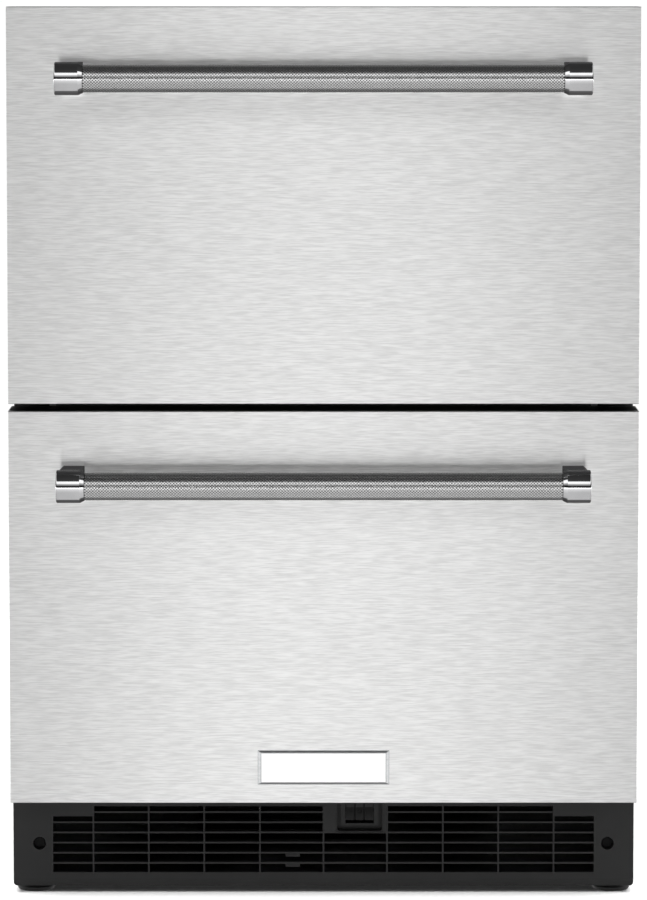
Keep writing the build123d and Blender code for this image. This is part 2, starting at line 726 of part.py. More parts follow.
def compressor():
    """Sealed compressor on its foot plate."""
    x, y = COMPRESSOR
    plate = block((x - 98, x + 98), (y - 76, y + 76), (LEG_Z, LEG_Z + 3))
    plate = fillet(edges_along(plate, Axis.Z), 14)
    for gx, gy in GROMMETS:
        plate -= rod((gx, gy, LEG_Z - 1), (0, 0, 1), 6.1, 5)
    return plate + compressor_can()


def compressor_mounts():
    """Four rubber grommets under the compressor's foot plate."""
    mounts = []
    for gx, gy in GROMMETS:
        grommet = rod((gx, gy, TRAY_Z + 2), (0, 0, 1), 11, LEG_Z - TRAY_Z - 2)
        grommet += rod((gx, gy, LEG_Z), (0, 0, 1), 6, 3)
        grommet += rod((gx, gy, LEG_Z + 3), (0, 0, 1), 9, 4)
        mounts.append(grommet.solid())
    return Compound(children=mounts)


def terminal_cover():
    """Black box over the compressor's terminals, shaped to the can."""
    x, y = COMPRESSOR
    box = block((x - 30, x + 30), (y - COMPRESSOR_R - 16, y - 40), (LEG_Z + 20, LEG_Z + 68))
    box = fillet(edges_along(box, Axis.Z), 4)
    return box - compressor_can()


def condenser_fan_shroud():
    """Upright plate with a ring round the fan, and four arms that hold its motor."""
    plate = block(SHROUD_X, (MACHINE_FRONT + 4, 316), (TRAY_Z + 2, 196))
    ring_x = MOTOR_FACE_X - 4
    reach = SHROUD_X[1] - ring_x
    ring = rod((ring_x, FAN_Y, FAN_Z), (1, 0, 0), CONDENSER_FAN_R + 6, reach)
    bore = rod((ring_x - 1, FAN_Y, FAN_Z), (1, 0, 0), CONDENSER_FAN_R + 3, reach + 2)
    shroud = plate + ring - bore
    hub = rod((ring_x, FAN_Y, FAN_Z), (1, 0, 0), 22, 4)
    middle = Location((ring_x + 2, FAN_Y, FAN_Z))
    for quarter in range(4):
        arm = Pos(0, 0, 44.5) * Box(4, 6, 50)
        shroud += middle * Rot(45 + 90 * quarter, 0, 0) * arm
    shroud += hub
    return shroud - rod((ring_x - 1, FAN_Y, FAN_Z), (1, 0, 0), 6, 8)


def condenser_fan_motor():
    x = MOTOR_FACE_X - 4 - 34
    motor = rod((x, FAN_Y, FAN_Z), (1, 0, 0), 25, 34)
    motor = fillet(motor.edges().sort_by(Axis.X)[0], 5)
    motor += rod((x + 34, FAN_Y, FAN_Z), (1, 0, 0), 5.5, 4)
    return motor - rod((x + 10, FAN_Y, FAN_Z), (1, 0, 0), SHAFT_R + 0.05, 40)


def fan_blades(radius, hub_r, depth, count):
    """A propeller about +Z, with its hub from z=0 to z=depth."""
    hub = fillet(rod((0, 0, 0), (0, 0, 1), hub_r, depth).edges().sort_by(Axis.Z)[-1], 2)
    reach = radius - hub_r + 3
    blade = Pos(hub_r - 3 + reach / 2, 0, depth / 2) * Rot(32, 0, 0) * Box(reach, depth * 1.25, 1.6)
    tip = rod((0, 0, -5), (0, 0, 1), radius, depth + 10)
    for index in range(count):
        hub += (Rot(0, 0, 360 / count * index) * blade) & tip
    return hub


def condenser_fan_rotor():
    """Blades with their shaft, blowing across the compressor."""
    blades = fan_blades(CONDENSER_FAN_R, 18, 20, 5)
    blades = Pos(MOTOR_FACE_X + 6, FAN_Y, FAN_Z) * Rot(0, 90, 0) * blades
    start = MOTOR_FACE_X - 4 - 22
    return blades + rod((start, FAN_Y, FAN_Z), (1, 0, 0), SHAFT_R, 40)


def evaporator_fan_rotor():
    """Blades with their shaft, blowing forwards through the evaporator cover."""
    blades = fan_blades(EVAPORATOR_FAN_R, 14, 14, 5)
    y = EVAPORATOR_FAN_Y + 14
    blades = Pos(0, y, EVAPORATOR_FAN_Z) * Rot(90, 0, 0) * blades
    return blades + rod((0, y - 4, EVAPORATOR_FAN_Z), (0, 1, 0), SHAFT_R, 20)


def evaporator_fan_motor():
    y = EVAPORATOR_MOTOR_Y
    motor = rod((0, y, EVAPORATOR_FAN_Z), (0, 1, 0), 21, CAVITY_REAR - y)
    arm = block(both_ways(60), (y + 14, CAVITY_REAR), (EVAPORATOR_FAN_Z - 5, EVAPORATOR_FAN_Z + 5))
    return motor + arm - rod((0, y - 1, EVAPORATOR_FAN_Z), (0, 1, 0), SHAFT_R + 0.05, 16)


def evaporator_cover():
    """White cover over the cold coil and its fan, with air slots and a round outlet."""
    cover = block(both_ways(COVER_X), COVER_Y, COVER_Z)
    front = cover.faces().sort_by(Axis.Y)[0]
    cover = fillet([*edges_along(cover, Axis.Y), *front.edges()], 8)
    wall = 2.5
    cover -= block(
        both_ways(COVER_X - wall), (COVER_Y[0] + wall, COVER_Y[1] + 1), (COVER_Z[0] + wall, COVER_Z[1] - wall)
    )
    through = (COVER_Y[0] - 1, COVER_Y[0] + wall + 1)
    for row in range(5):  # return air slots, low down
        z = COVER_Z[0] + 18 + row * 9
        for column in range(-2, 3):
            x = column * 76.0
            cover -= block((x - 33, x + 33), through, (z, z + 4))
    outlet = rod((0, through[0], EVAPORATOR_FAN_Z), (0, 1, 0), EVAPORATOR_FAN_R, through[1] - through[0])
    for row in range(-6, 7):  # the outlet's bars are what is left between these slots
        z = EVAPORATOR_FAN_Z + row * 7.6
        cover -= outlet & block(both_ways(COVER_X), through, (z - 2.6, z + 2.6))
    return cover


def suction_pipe(radius):
    """Pipe from the cold coil, down inside the back's insulation, to the compressor."""
    start = (170.0, 262.0, 623.0)
    points = [
        start,
        (192.0, 262.0, 623.0),
        (192.0, PIPE_Y, 623.0),
        (192.0, PIPE_Y, 203.0),
        (COMPRESSOR[0] + 30, PIPE_Y, 203.0),
        (COMPRESSOR[0] + 30, COMPRESSOR[1] + 20, 203.0),
        (COMPRESSOR[0] + 30, COMPRESSOR[1] + 20, 170.0),
    ]
    return bent_tube(points, radius, 10.0)


def discharge_pipe():
    """Pipe from the compressor to the top of the hot coil."""
    points = [
        (COMPRESSOR[0] + 40, COMPRESSOR[1] - 20, 170.0),
        (COMPRESSOR[0] + 40, COMPRESSOR[1] - 20, 203.0),
        (96.0, COMPRESSOR[1] - 20, 203.0),
        (96.0, 132.0, 203.0),
        (96.0, 132.0, 176.0),
        (96.0, 138.0, 176.0),
    ]
    return bent_tube(points, 3.2, 4.5)


def liquid_pipe():
    """Pipe from the bottom of the hot coil to the filter drier."""
    points = [
        (152.0, 138.0, 176.0),
        (152.0, 131.5, 176.0),
        (DRIER[0], 131.5, 176.0),
        (DRIER[0], 131.5, 46.0),
        (DRIER[0], DRIER[1], 46.0),
        (DRIER[0], DRIER[1], DRIER_Z[0]),
    ]
    return bent_tube(points, 3.0, 3.4)


def capillary():
    """Thin pipe from the filter drier up to the deck's pipe entry."""
    points = [
        (DRIER[0], DRIER[1], DRIER_Z[1]),
        (DRIER[0], DRIER[1], 190.0),
        (DRIER[0], PIPE_Y - 10, 190.0),
        (203.0, PIPE_Y - 10, 190.0),
        (203.0, PIPE_Y - 10, MACHINE_TOP - SHEET),
    ]
    return bent_tube(points, 1.5, 8.0)


def filter_drier():
    """Copper canister with necked ends."""
    x, y = DRIER
    low, high = DRIER_Z
    body = rod((x, y, low + 6), (0, 0, 1), 10, high - low - 12)
    body = chamfer(body.edges().filter_by(GeomType.CIRCLE), 5)
    return body + rod((x, y, low), (0, 0, 1), 4.2, high - low)


def drip_tray():
    """Shallow tray on the duct floor, ahead of the machine, that catches meltwater."""
    x, y, z = (-130, 60), (10, 112), (TRAY_Z + 2, TRAY_Z + 30)
    tray = fillet(edges_along(block(x, y, z), Axis.Z), 12)
    inner = block((x[0] + 2, x[1] - 2), (y[0] + 2, y[1] - 2), (z[0] + 2, z[1] + 1))
    return tray - fillet(edges_along(inner, Axis.Z), 10)


# ================================================================ rear


def machine_cover():
    """Louvred steel cover over the machine compartment."""
    y = (CABINET_BACK - 1.5, CABINET_BACK)
    cover = block(both_ways(CABINET_X - 4), y, (14, MACHINE_TOP - 2))
    cover = fillet(edges_along(cover, Axis.Y), 4)
    for column in range(-1, 2):
        for row in range(9):
            x, z = column * 190.0, 70.0 + row * 14
            cover -= block((x - 75, x + 75), (y[0] - 1, y[1] + 1), (z, z + 5))
    return cover - rod((GLAND_X, y[0] - 1, GLAND_Z), (0, 1, 0), 8 + FIT, 4)


def cord_gland():
    """Bushing where the supply cord enters."""
    flange = rod((GLAND_X, CABINET_BACK, GLAND_Z), (0, 1, 0), 13, GLAND_FLANGE)
    flange = fillet(flange.edges().sort_by(Axis.Y)[-1], 1.5)
    flange += rod((GLAND_X, CABINET_BACK - 14, GLAND_Z), (0, 1, 0), 8, 14)
    return flange - rod((GLAND_X, CABINET_BACK - 15, GLAND_Z), (0, 1, 0), GLAND_BORE_R, 20)


# ================================================================ controls and lamp
def control_panel():
    """Housing under the ceiling, with a pocket for each button and a display recess."""
    panel = block(both_ways(PANEL_X), PANEL_Y, PANEL_Z)
    front = panel.faces().sort_by(Axis.Y)[0]
    lower = [e for e in front.edges() if e.center().Z < PANEL_Z[0] + 1]
    panel = fillet(lower, 4)
    wall = 2.5
    panel -= block(
        both_ways(PANEL_X - wall),
        (PANEL_Y[0] + 12, PANEL_Y[1] - wall),
        (PANEL_Z[0] + wall, PANEL_Z[1] + 1),
    )
    for x in BUTTON_XS.values():
        panel -= block(
            (x - BUTTON_W / 2 - 0.2, x + BUTTON_W / 2 + 0.2),
            (PANEL_Y[0] - 1, PANEL_Y[0] + 8),
            (BUTTON_Z - BUTTON_H / 2 - 0.2, BUTTON_Z + BUTTON_H / 2 + 0.2),
        )
    return panel - block(both_ways(26), (PANEL_Y[0] - 1, PANEL_Y[0] + 1.2), (BUTTON_Z - 7, BUTTON_Z + 7))


def button(x):
    """Push button with softly rounded edges."""
    cap = block(
        (x - BUTTON_W / 2, x + BUTTON_W / 2),
        (PANEL_Y[0] - 1.6, PANEL_Y[0] + 5),
        (BUTTON_Z - BUTTON_H / 2, BUTTON_Z + BUTTON_H / 2),
    )
    cap = fillet(edges_along(cap, Axis.Y), 2)
    return fillet(cap.faces().sort_by(Axis.Y)[0].edges(), 0.6)


def lamp_lens():
    """Frosted strip behind the control panel."""
    lens = block(both_ways(95), (-108, -86), (CEILING - 7, CEILING))
    low = lens.faces().sort_by(Axis.Z)[0]
    return fillet(low.edges(), 3)


# ================================================================ the assembly
def drawer(prefix, z, opening, bin_z, stepped, seal_top, seal_bottom):
    """Writes every sub-part that moves with one drawer, and the rails that carry it."""
    outer, middle, inner = rail_sets(bin_z[1])
    save(prefix + "_front_skin", front_skin(z))
    save(prefix + "_front_end_caps", front_end_caps(z))
    save(prefix + "_front_foam", front_foam(z, opening))
    save(prefix + "_front_inner_panel", front_inner_panel(z, opening))
    save(prefix + "_gasket", gasket(seal_top, seal_bottom))
    save(prefix + "_handle_bar", handle_bar(z[1]))
    save(prefix + "_handle_posts", handle_posts(z[1]))
    save(prefix + "_bin", drawer_bin(bin_z, stepped))
    save(prefix + "_inner_rails", inner)
    save(prefix + "_middle_rails", middle)
    save(prefix + "_outer_rails", outer)


def main():
    os.makedirs("parts", exist_ok=True)
    upper_opening = (MULLION_Z[1], CEILING)
    lower_opening = (CAVITY_FLOOR, MULLION_Z[0])
    seal_inset = 8.0  # from the mullion's edge to a gasket's middle line
    drawer(
        "upper", UPPER_Z, upper_opening, UPPER_BIN_Z, False,
        CEILING + 21, MULLION_Z[1] - seal_inset,
    )
    drawer(
        "lower", LOWER_Z, lower_opening, LOWER_BIN_Z, True,
        MULLION_Z[0] + seal_inset, CAVITY_FLOOR - 19,
    )
    save("badge", badge())

    channel_cut = suction_pipe(SUCTION_R + CHANNEL_CLEAR)
    save("outer_wrapper", outer_wrapper())
    save("back_panel", back_panel())
    save("cabinet_foam", cabinet_foam(channel_cut))
    save("inner_liner", inner_liner(channel_cut))
    save("machine_deck", machine_deck() - channel_cut)
    save("mullion", mullion())
    save("counter_brackets", counter_brackets())
    save("base_frame", base_frame())
    save("toe_kick_grille", toe_kick_grille())
    save("toe_kick_screws", toe_kick_screws())
    save("switch_housing", switch_housing())
    save("rocker", rocker())
    for name, x, y in (
        ("foot_front_left", -FOOT_X, FOOT_FRONT_Y),
        ("foot_front_right", FOOT_X, FOOT_FRONT_Y),
        ("foot_rear_left", -FOOT_X, FOOT_REAR_Y),
        ("foot_rear_right", FOOT_X, FOOT_REAR_Y),
    ):
        save(name, foot(x, y))

    save("compressor", compressor())
    save("compressor_mounts", compressor_mounts())
    save("terminal_cover", terminal_cover())
    save("condenser_coil", condenser_coil())
    save("condenser_fan_shroud", condenser_fan_shroud())
    save("condenser_fan_motor", condenser_fan_motor())
    save("condenser_fan_rotor", condenser_fan_rotor())
    save("filter_drier", filter_drier())
    can = compressor_can()
    pipes = [suction_pipe(SUCTION_R) - can, discharge_pipe() - can, liquid_pipe(), capillary()]
    save("refrigerant_pipes", Compound(children=[p.solid() for p in pipes]))
    save("drip_tray", drip_tray())
    save("machine_cover", machine_cover())
    save("cord_gland", cord_gland())

    save("evaporator_coil", evaporator_coil())
    save("evaporator_cover", evaporator_cover())
    save("evaporator_fan_motor", evaporator_fan_motor())
    save("evaporator_fan_rotor", evaporator_fan_rotor())
    save("control_panel", control_panel())
    for name, x in BUTTON_XS.items():
        save(name, button(x))
    save("lamp_lens", lamp_lens())


main()
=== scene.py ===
import math

import bmesh
import bpy
from mathutils import Matrix, Vector


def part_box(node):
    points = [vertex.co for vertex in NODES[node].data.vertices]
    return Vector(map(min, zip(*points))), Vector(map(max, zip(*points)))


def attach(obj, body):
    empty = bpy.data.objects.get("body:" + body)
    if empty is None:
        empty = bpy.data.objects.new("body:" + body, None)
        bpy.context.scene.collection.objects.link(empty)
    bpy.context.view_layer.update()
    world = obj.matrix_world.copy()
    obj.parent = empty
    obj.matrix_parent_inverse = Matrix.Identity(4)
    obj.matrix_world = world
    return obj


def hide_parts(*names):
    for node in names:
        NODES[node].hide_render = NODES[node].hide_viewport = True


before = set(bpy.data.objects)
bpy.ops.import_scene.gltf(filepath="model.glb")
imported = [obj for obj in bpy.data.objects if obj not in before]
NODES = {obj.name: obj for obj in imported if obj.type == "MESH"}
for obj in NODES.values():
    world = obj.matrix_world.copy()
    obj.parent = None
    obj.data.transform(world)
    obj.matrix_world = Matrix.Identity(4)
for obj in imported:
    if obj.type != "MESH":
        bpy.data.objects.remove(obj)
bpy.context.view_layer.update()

MM = 0.001
TURN = 2 * math.pi
FRONTWARD = Vector((0, -1, 0))


# ================================================================ small helpers
def corners(node):
    """The lowest and highest corner of a CAD node."""
    low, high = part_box(node)
    return Vector(low), Vector(high)


def piece(name, mesh, body, material, replaces=()):
    """Makes an object from a mesh, and rides it on a CAD body."""
    made = bpy.data.objects.new(name, mesh)
    bpy.context.scene.collection.objects.link(made)
    mesh.materials.append(material)
    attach(made, body)
    if replaces:
        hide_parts(*replaces)
    return made


def mesh_from(name, points, faces, smooth=True):
    mesh = bpy.data.meshes.new(name)
    mesh.from_pydata([tuple(p) for p in points], [], faces)
    mesh.validate()
    tidy = bmesh.new()
    tidy.from_mesh(mesh)
    bmesh.ops.recalc_face_normals(tidy, faces=tidy.faces)
    tidy.to_mesh(mesh)
    tidy.free()
    mesh.polygons.foreach_set("use_smooth", [smooth] * len(mesh.polygons))
    return mesh


def sharpen(mesh, degrees=35):
    """Smooth shading with hard edges where faces meet at more than an angle."""
    mesh.polygons.foreach_set("use_smooth", [True] * len(mesh.polygons))
    mesh.set_sharp_from_angle(angle=math.radians(degrees))


def bevelled(target, width, segments=2, degrees=35):
    """Rounds an object's hard edges."""
    rounding = target.modifiers.new("edges", "BEVEL")
    rounding.width = width
    rounding.segments = segments
    rounding.limit_method = "ANGLE"
    rounding.angle_limit = math.radians(degrees)
    rounding.use_clamp_overlap = True
    rounding.harden_normals = True


def joined(name, meshes, smooth_angle=35):
    """One mesh from several, each a (mesh, matrix) pair."""
    whole = bmesh.new()
    for mesh, matrix in meshes:
        copy = mesh.copy()
        copy.transform(matrix)
        whole.from_mesh(copy)
        bpy.data.meshes.remove(copy)
    made = bpy.data.meshes.new(name)
    whole.to_mesh(made)
    whole.free()
    sharpen(made, smooth_angle)
    return made


def lathe(name, profile, steps=48):
    """A closed solid turned about Z from (radius, height) points; it starts and ends on the axis."""
    points = [(0, 0, profile[0][1])]
    faces = []
    rings = profile[1:-1]
    for radius, height in rings:
        for step in range(steps):
            angle = TURN * step / steps
            points.append((radius * math.cos(angle), radius * math.sin(angle), height))
    last = len(points)
    points.append((0, 0, profile[-1][1]))
    for step in range(steps):
        after = (step + 1) % steps
        faces.append((0, 1 + after, 1 + step))
        for ring in range(len(rings) - 1):
            low, high = 1 + ring * steps, 1 + (ring + 1) * steps
            faces.append((low + step, low + after, high + after, high + step))
        top = 1 + (len(rings) - 1) * steps
        faces.append((last, top + step, top + after))
    mesh = mesh_from(name, points, faces)
    sharpen(mesh)
    return mesh


def rounded_box(name, low, high, radius, segments=2):
    """A box with rounded edges, as a mesh in place."""
    box = bmesh.new()
    bmesh.ops.create_cube(box, size=1)
    size = Vector(high) - Vector(low)
    place = Matrix.Translation((Vector(low) + Vector(high)) / 2) @ Matrix.Diagonal((*size, 1))
    bmesh.ops.transform(box, matrix=place, verts=box.verts)
    bmesh.ops.bevel(
        box, geom=box.edges[:], offset=radius, segments=segments, profile=0.5, affect="EDGES",
        clamp_overlap=True,
    )
    mesh = bpy.data.meshes.new(name)
    box.to_mesh(mesh)
    box.free()
    sharpen(mesh, 50)
    return mesh


def round_corners(half_x, half_z, radius, steps):
    """The corner's middle and the outward direction, as (x, z) pairs, round a rounded rectangle."""
    for quarter in range(4):
        sign_x = (1, -1, -1, 1)[quarter]
        sign_z = (1, 1, -1, -1)[quarter]
        for step in range(steps + 1):
            angle = (quarter + step / steps) * TURN / 4
            corner = (sign_x * (half_x - radius), sign_z * (half_z - radius))
            yield corner, (math.cos(angle), math.sin(angle))


def rounded_outline(half_x, half_z, radius, steps=6):
    """Points of a rounded rectangle, as (x, z)."""
    around = round_corners(half_x, half_z, radius, steps)
    return [(x + radius * out_x, z + radius * out_z) for (x, z), (out_x, out_z) in around]


def swept_ring(name, half_x, half_z, radius, profile, centre, corner_steps=6):
    """A profile of (outward, depth) points swept round a rounded rectangle in the XZ plane."""
    path = []
    for (x, z), (out_x, out_z) in round_corners(half_x, half_z, radius, corner_steps):
        outward = Vector((out_x, 0, out_z))
        path.append((Vector((x, 0, z)) + outward * radius, outward))
    count = len(profile)
    points = [centre + at + out * o + Vector((0, d, 0)) for at, out in path for o, d in profile]
    faces = []
    for step in range(len(path)):
        after = (step + 1) % len(path)
        for k in range(count):
            m = (k + 1) % count
            faces.append((step * count + k, step * count + m, after * count + m, after * count + k))
    mesh = mesh_from(name, points, faces)
    sharpen(mesh, 50)
    return mesh


# ================================================================ materials
class Nodes:
    """Builds one node material."""

    def __init__(self, name):
        self.material = bpy.data.materials.new(name)
        self.material.use_nodes = True
        self.tree = self.material.node_tree
        self.shader = self.tree.nodes["Principled BSDF"]

    def set(self, **values):
        for key, value in values.items():
            self.shader.inputs[key.replace("_", " ")].default_value = value

    def add(self, kind, **values):
        node = self.tree.nodes.new(kind)
        for key, value in values.items():
            setattr(node, key, value)
        return node

    def link(self, source, target):
        self.tree.links.new(source, target)

    def coordinates(self, stretch=(1, 1, 1)):
        """Object coordinates, in metres, stretched."""
        place = self.add("ShaderNodeTexCoord")
        mapping = self.add("ShaderNodeMapping")
        mapping.inputs["Scale"].default_value = stretch
        self.link(place.outputs["Object"], mapping.inputs["Vector"])
        return mapping.outputs["Vector"]

    def noise(self, vector, scale, detail=3.0, roughness=0.5):
        node = self.add("ShaderNodeTexNoise")
        node.inputs["Scale"].default_value = scale
        node.inputs["Detail"].default_value = detail
        node.inputs["Roughness"].default_value = roughness
        self.link(vector, node.inputs["Vector"])
        return node.outputs["Fac"]

    def spread(self, value, low, high, source=(0.3, 0.7)):
        """Maps a value's range to another one."""
        node = self.add("ShaderNodeMapRange")
        node.inputs["From Min"].default_value = source[0]
        node.inputs["From Max"].default_value = source[1]
        node.inputs["To Min"].default_value = low
        node.inputs["To Max"].default_value = high
        self.link(value, node.inputs["Value"])
        return node.outputs["Result"]

    def mix(self, factor, first, second):
        """Blends two colours."""
        node = self.add("ShaderNodeMix", data_type="RGBA")
        node.inputs["A"].default_value = (*first, 1)
        node.inputs["B"].default_value = (*second, 1)
        self.link(factor, node.inputs["Factor"])
        return node.outputs["Result"]

    def painted_dark_in_mirrors(self, colour, dim):
        """The same colour, painted dark where a polished part mirrors it first: painted shade in the
        reflections.
        """
        path = self.add("ShaderNodeLightPath")
        near = self.add("ShaderNodeMath", operation="LESS_THAN")
        near.inputs[1].default_value = 1.5
        self.link(path.outputs["Ray Depth"], near.inputs[0])
        first = self.add("ShaderNodeMath", operation="MULTIPLY")
        self.link(near.outputs[0], first.inputs[0])
        self.link(path.outputs["Is Glossy Ray"], first.inputs[1])
        node = self.add("ShaderNodeMix", data_type="RGBA")
        node.inputs["B"].default_value = (*dim, 1)
        self.link(colour, node.inputs["A"])
        self.link(first.outputs[0], node.inputs["Factor"])
        return node.outputs["Result"]

    def bump(self, height, distance, strength=1.0):
        node = self.add("ShaderNodeBump")
        node.inputs["Strength"].default_value = strength
        node.inputs["Distance"].default_value = distance
        self.link(height, node.inputs["Height"])
        self.link(node.outputs["Normal"], self.shader.inputs["Normal"])

    def colour(self, value):
        self.link(value, self.shader.inputs["Base Color"])

    def roughness(self, value):
        self.link(value, self.shader.inputs["Roughness"])


def brushed_steel():
    """Stainless sheet brushed along X."""
    m = Nodes("brushed_steel")
    m.set(Metallic=1.0, Anisotropic=0.93, Anisotropic_Rotation=0.25)
    hair = m.noise(m.coordinates((75, 75, 1100)), 1.0, 2, 0.5)
    streak = m.noise(m.coordinates((40, 40, 700)), 1.0, 2, 0.5)
    cloud = m.noise(m.coordinates(), 3.0, 2)
    both = m.add("ShaderNodeMath", operation="ADD")
    m.link(hair, both.inputs[0])
    m.link(streak, both.inputs[1])
    grain = m.mix(m.spread(both.outputs[0], 0, 1, (0.78, 1.22)), (0.77, 0.77, 0.765), (0.95, 0.95, 0.945))
    # Painted shade: the steel turns dark grey wherever a polished part mirrors it.
    m.colour(m.painted_dark_in_mirrors(grain, (0.16, 0.16, 0.16)))
    m.roughness(m.spread(cloud, 0.278, 0.288))
    tangent = m.add("ShaderNodeTangent", direction_type="RADIAL", axis="Z")
    m.link(tangent.outputs[0], m.shader.inputs["Tangent"])
    m.bump(hair, 0.00001, 0.4)
    return m.material


def knurl_steel(name, dark, light, roughness, variation):
    """Knurled grip's steel at a given brightness: the crests get a bright copy, and the flanks of the
    grooves a much darker copy that is painted shade.
    """
    m = Nodes(name)
    m.set(Metallic=1.0)
    grain = m.noise(m.coordinates(), 900.0, 2)
    m.colour(m.mix(m.spread(grain, 0, 1), (dark,) * 3, (light,) * 3))
    m.roughness(m.spread(grain, roughness, roughness + variation))
    return m.material


def chrome():
    m = Nodes("chrome")
    m.set(Metallic=1.0)
    smear = m.noise(m.coordinates(), 60.0, 3)
    m.colour(m.mix(m.spread(smear, 0, 1), (0.68, 0.68, 0.69), (0.74, 0.74, 0.75)))
    m.roughness(m.spread(smear, 0.03, 0.09))
    return m.material


def bright_plate():
    """Satin silver face of the badge."""
    m = Nodes("bright_plate")
    m.set(Metallic=0.35)
    grain = m.noise(m.coordinates((20, 20, 1500)), 1.0, 3)
    m.colour(m.mix(m.spread(grain, 0, 1), (0.90, 0.90, 0.90), (0.97, 0.97, 0.97)))
    m.roughness(m.spread(grain, 0.28, 0.36))
    return m.material


def moulded(name, colour, roughness, grain_scale=1400.0, depth=0.00004, tint=0.12, shine=0.5):
    """Moulded plastic with a fine grain and slightly uneven gloss."""
    m = Nodes(name)
    m.set(Specular_IOR_Level=shine)
    grain = m.noise(m.coordinates(), grain_scale, 2)
    cloud = m.noise(m.coordinates(), 14.0, 3)
    darker = tuple(c * (1 - tint) for c in colour)
    lighter = tuple(min(1.0, c * (1 + tint)) for c in colour)
    m.colour(m.mix(m.spread(cloud, 0, 1), darker, lighter))
    m.roughness(m.spread(cloud, roughness - 0.05, roughness + 0.05))
    m.bump(grain, depth, 0.6)
    return m.material


def powder_coat(name, colour, roughness=0.42):
    """Painted sheet with an orange-peel surface."""
    m = Nodes(name)
    peel = m.noise(m.coordinates(), 420.0, 3)
    cloud = m.noise(m.coordinates(), 6.0, 3)
    m.colour(m.mix(m.spread(cloud, 0, 1), tuple(c * 0.9 for c in colour), tuple(c * 1.1 for c in colour)))
    m.roughness(m.spread(peel, roughness - 0.07, roughness + 0.07))
    m.bump(peel, 0.00012, 0.35)
    return m.material


def zinc_sheet():
    """Galvanised steel with its crystal pattern."""
    m = Nodes("zinc_sheet")
    m.set(Metallic=1.0)
    cells = m.add("ShaderNodeTexVoronoi", feature="F1")
    cells.inputs["Scale"].default_value = 110.0
    m.link(m.coordinates(), cells.inputs["Vector"])
    flake = m.add("ShaderNodeSeparateColor")
    m.link(cells.outputs["Color"], flake.inputs[0])
    m.colour(m.mix(m.spread(flake.outputs[0], 0, 1, (0, 1)), (0.44, 0.46, 0.47), (0.62, 0.64, 0.65)))
    m.roughness(m.spread(flake.outputs[1], 0.30, 0.48, (0, 1)))
    return m.material


def foam_plastic():
    """Foamed insulation with small cells."""
    m = Nodes("foam_plastic")
    cells = m.add("ShaderNodeTexVoronoi", feature="DISTANCE_TO_EDGE")
    cells.inputs["Scale"].default_value = 600.0
    m.link(m.coordinates(), cells.inputs["Vector"])
    m.colour(m.mix(m.spread(m.noise(m.coordinates(), 25.0), 0, 1), (0.78, 0.68, 0.40), (0.88, 0.80, 0.55)))
    m.set(Roughness=0.85)
    m.bump(cells.outputs["Distance"], 0.0004, 0.5)
    return m.material


def soft_rubber(name, colour):
    m = Nodes(name)
    grain = m.noise(m.coordinates(), 1800.0, 2)
    cloud = m.noise(m.coordinates(), 30.0, 2)
    m.colour(m.mix(m.spread(cloud, 0, 1), colour, tuple(c * 1.35 for c in colour)))
    m.roughness(m.spread(grain, 0.55, 0.75))
    m.bump(grain, 0.00005, 0.5)
    return m.material


def drawn_copper():
    m = Nodes("drawn_copper")
    m.set(Metallic=1.0)
    stain = m.noise(m.coordinates(), 45.0, 4)
    m.colour(m.mix(m.spread(stain, 0, 1), (0.50, 0.20, 0.10), (0.85, 0.44, 0.28)))
    m.roughness(m.spread(stain, 0.22, 0.42))
    return m.material


def mill_aluminium():
    m = Nodes("mill_aluminium")
    m.set(Metallic=1.0)
    streak = m.noise(m.coordinates((30, 30, 500)), 1.0, 3)
    m.colour(m.mix(m.spread(streak, 0, 1), (0.66, 0.67, 0.68), (0.80, 0.81, 0.82)))
    m.roughness(m.spread(streak, 0.28, 0.42))
    return m.material


def frosted_lens():
    m = Nodes("frosted_lens")
    ripple = m.noise(m.coordinates((400, 60, 60)), 1.0, 1)
    m.colour(m.mix(m.spread(ripple, 0, 1), (0.86, 0.88, 0.88), (0.96, 0.96, 0.94)))
    m.set(Roughness=0.35, Transmission_Weight=0.35, IOR=1.45)
    m.bump(ripple, 0.0004, 0.4)
    return m.material


def display_glass():
    m = Nodes("display_glass")
    cloud = m.noise(m.coordinates(), 40.0, 2)
    m.colour(m.mix(m.spread(cloud, 0, 1), (0.006, 0.007, 0.009), (0.012, 0.014, 0.018)))
    m.roughness(m.spread(cloud, 0.05, 0.09))
    m.set(Coat_Weight=0.5)
    return m.material


STEEL = brushed_steel()
GRIP = knurl_steel("knurl_crest", 0.92, 0.98, 0.276, 0.004)
# The flanks' copy is near black: painted shade in the knurl's grooves.
KNURL_FLANK_SHADE = knurl_steel("knurl_flank_painted_shade", 0.14, 0.24, 0.28, 0.08)
CHROME = chrome()
PLATE = bright_plate()
BLACK = moulded("black_plastic", (0.018, 0.018, 0.018), 0.42, shine=0.2)
SWITCH_BLACK = moulded("switch_black", (0.012, 0.012, 0.012), 0.34, shine=0.25)
CAP_BLACK = moulded("cap_black", (0.012, 0.012, 0.012), 0.45, shine=0.3)
WHITE = moulded("white_plastic", (0.80, 0.81, 0.81), 0.28, 900.0, 0.00002, 0.03)
GREY = moulded("grey_plastic", (0.34, 0.35, 0.36), 0.34, 1200.0, 0.00003, 0.05)
BIN = moulded("bin_plastic", (0.72, 0.75, 0.77), 0.22, 700.0, 0.00002, 0.04)
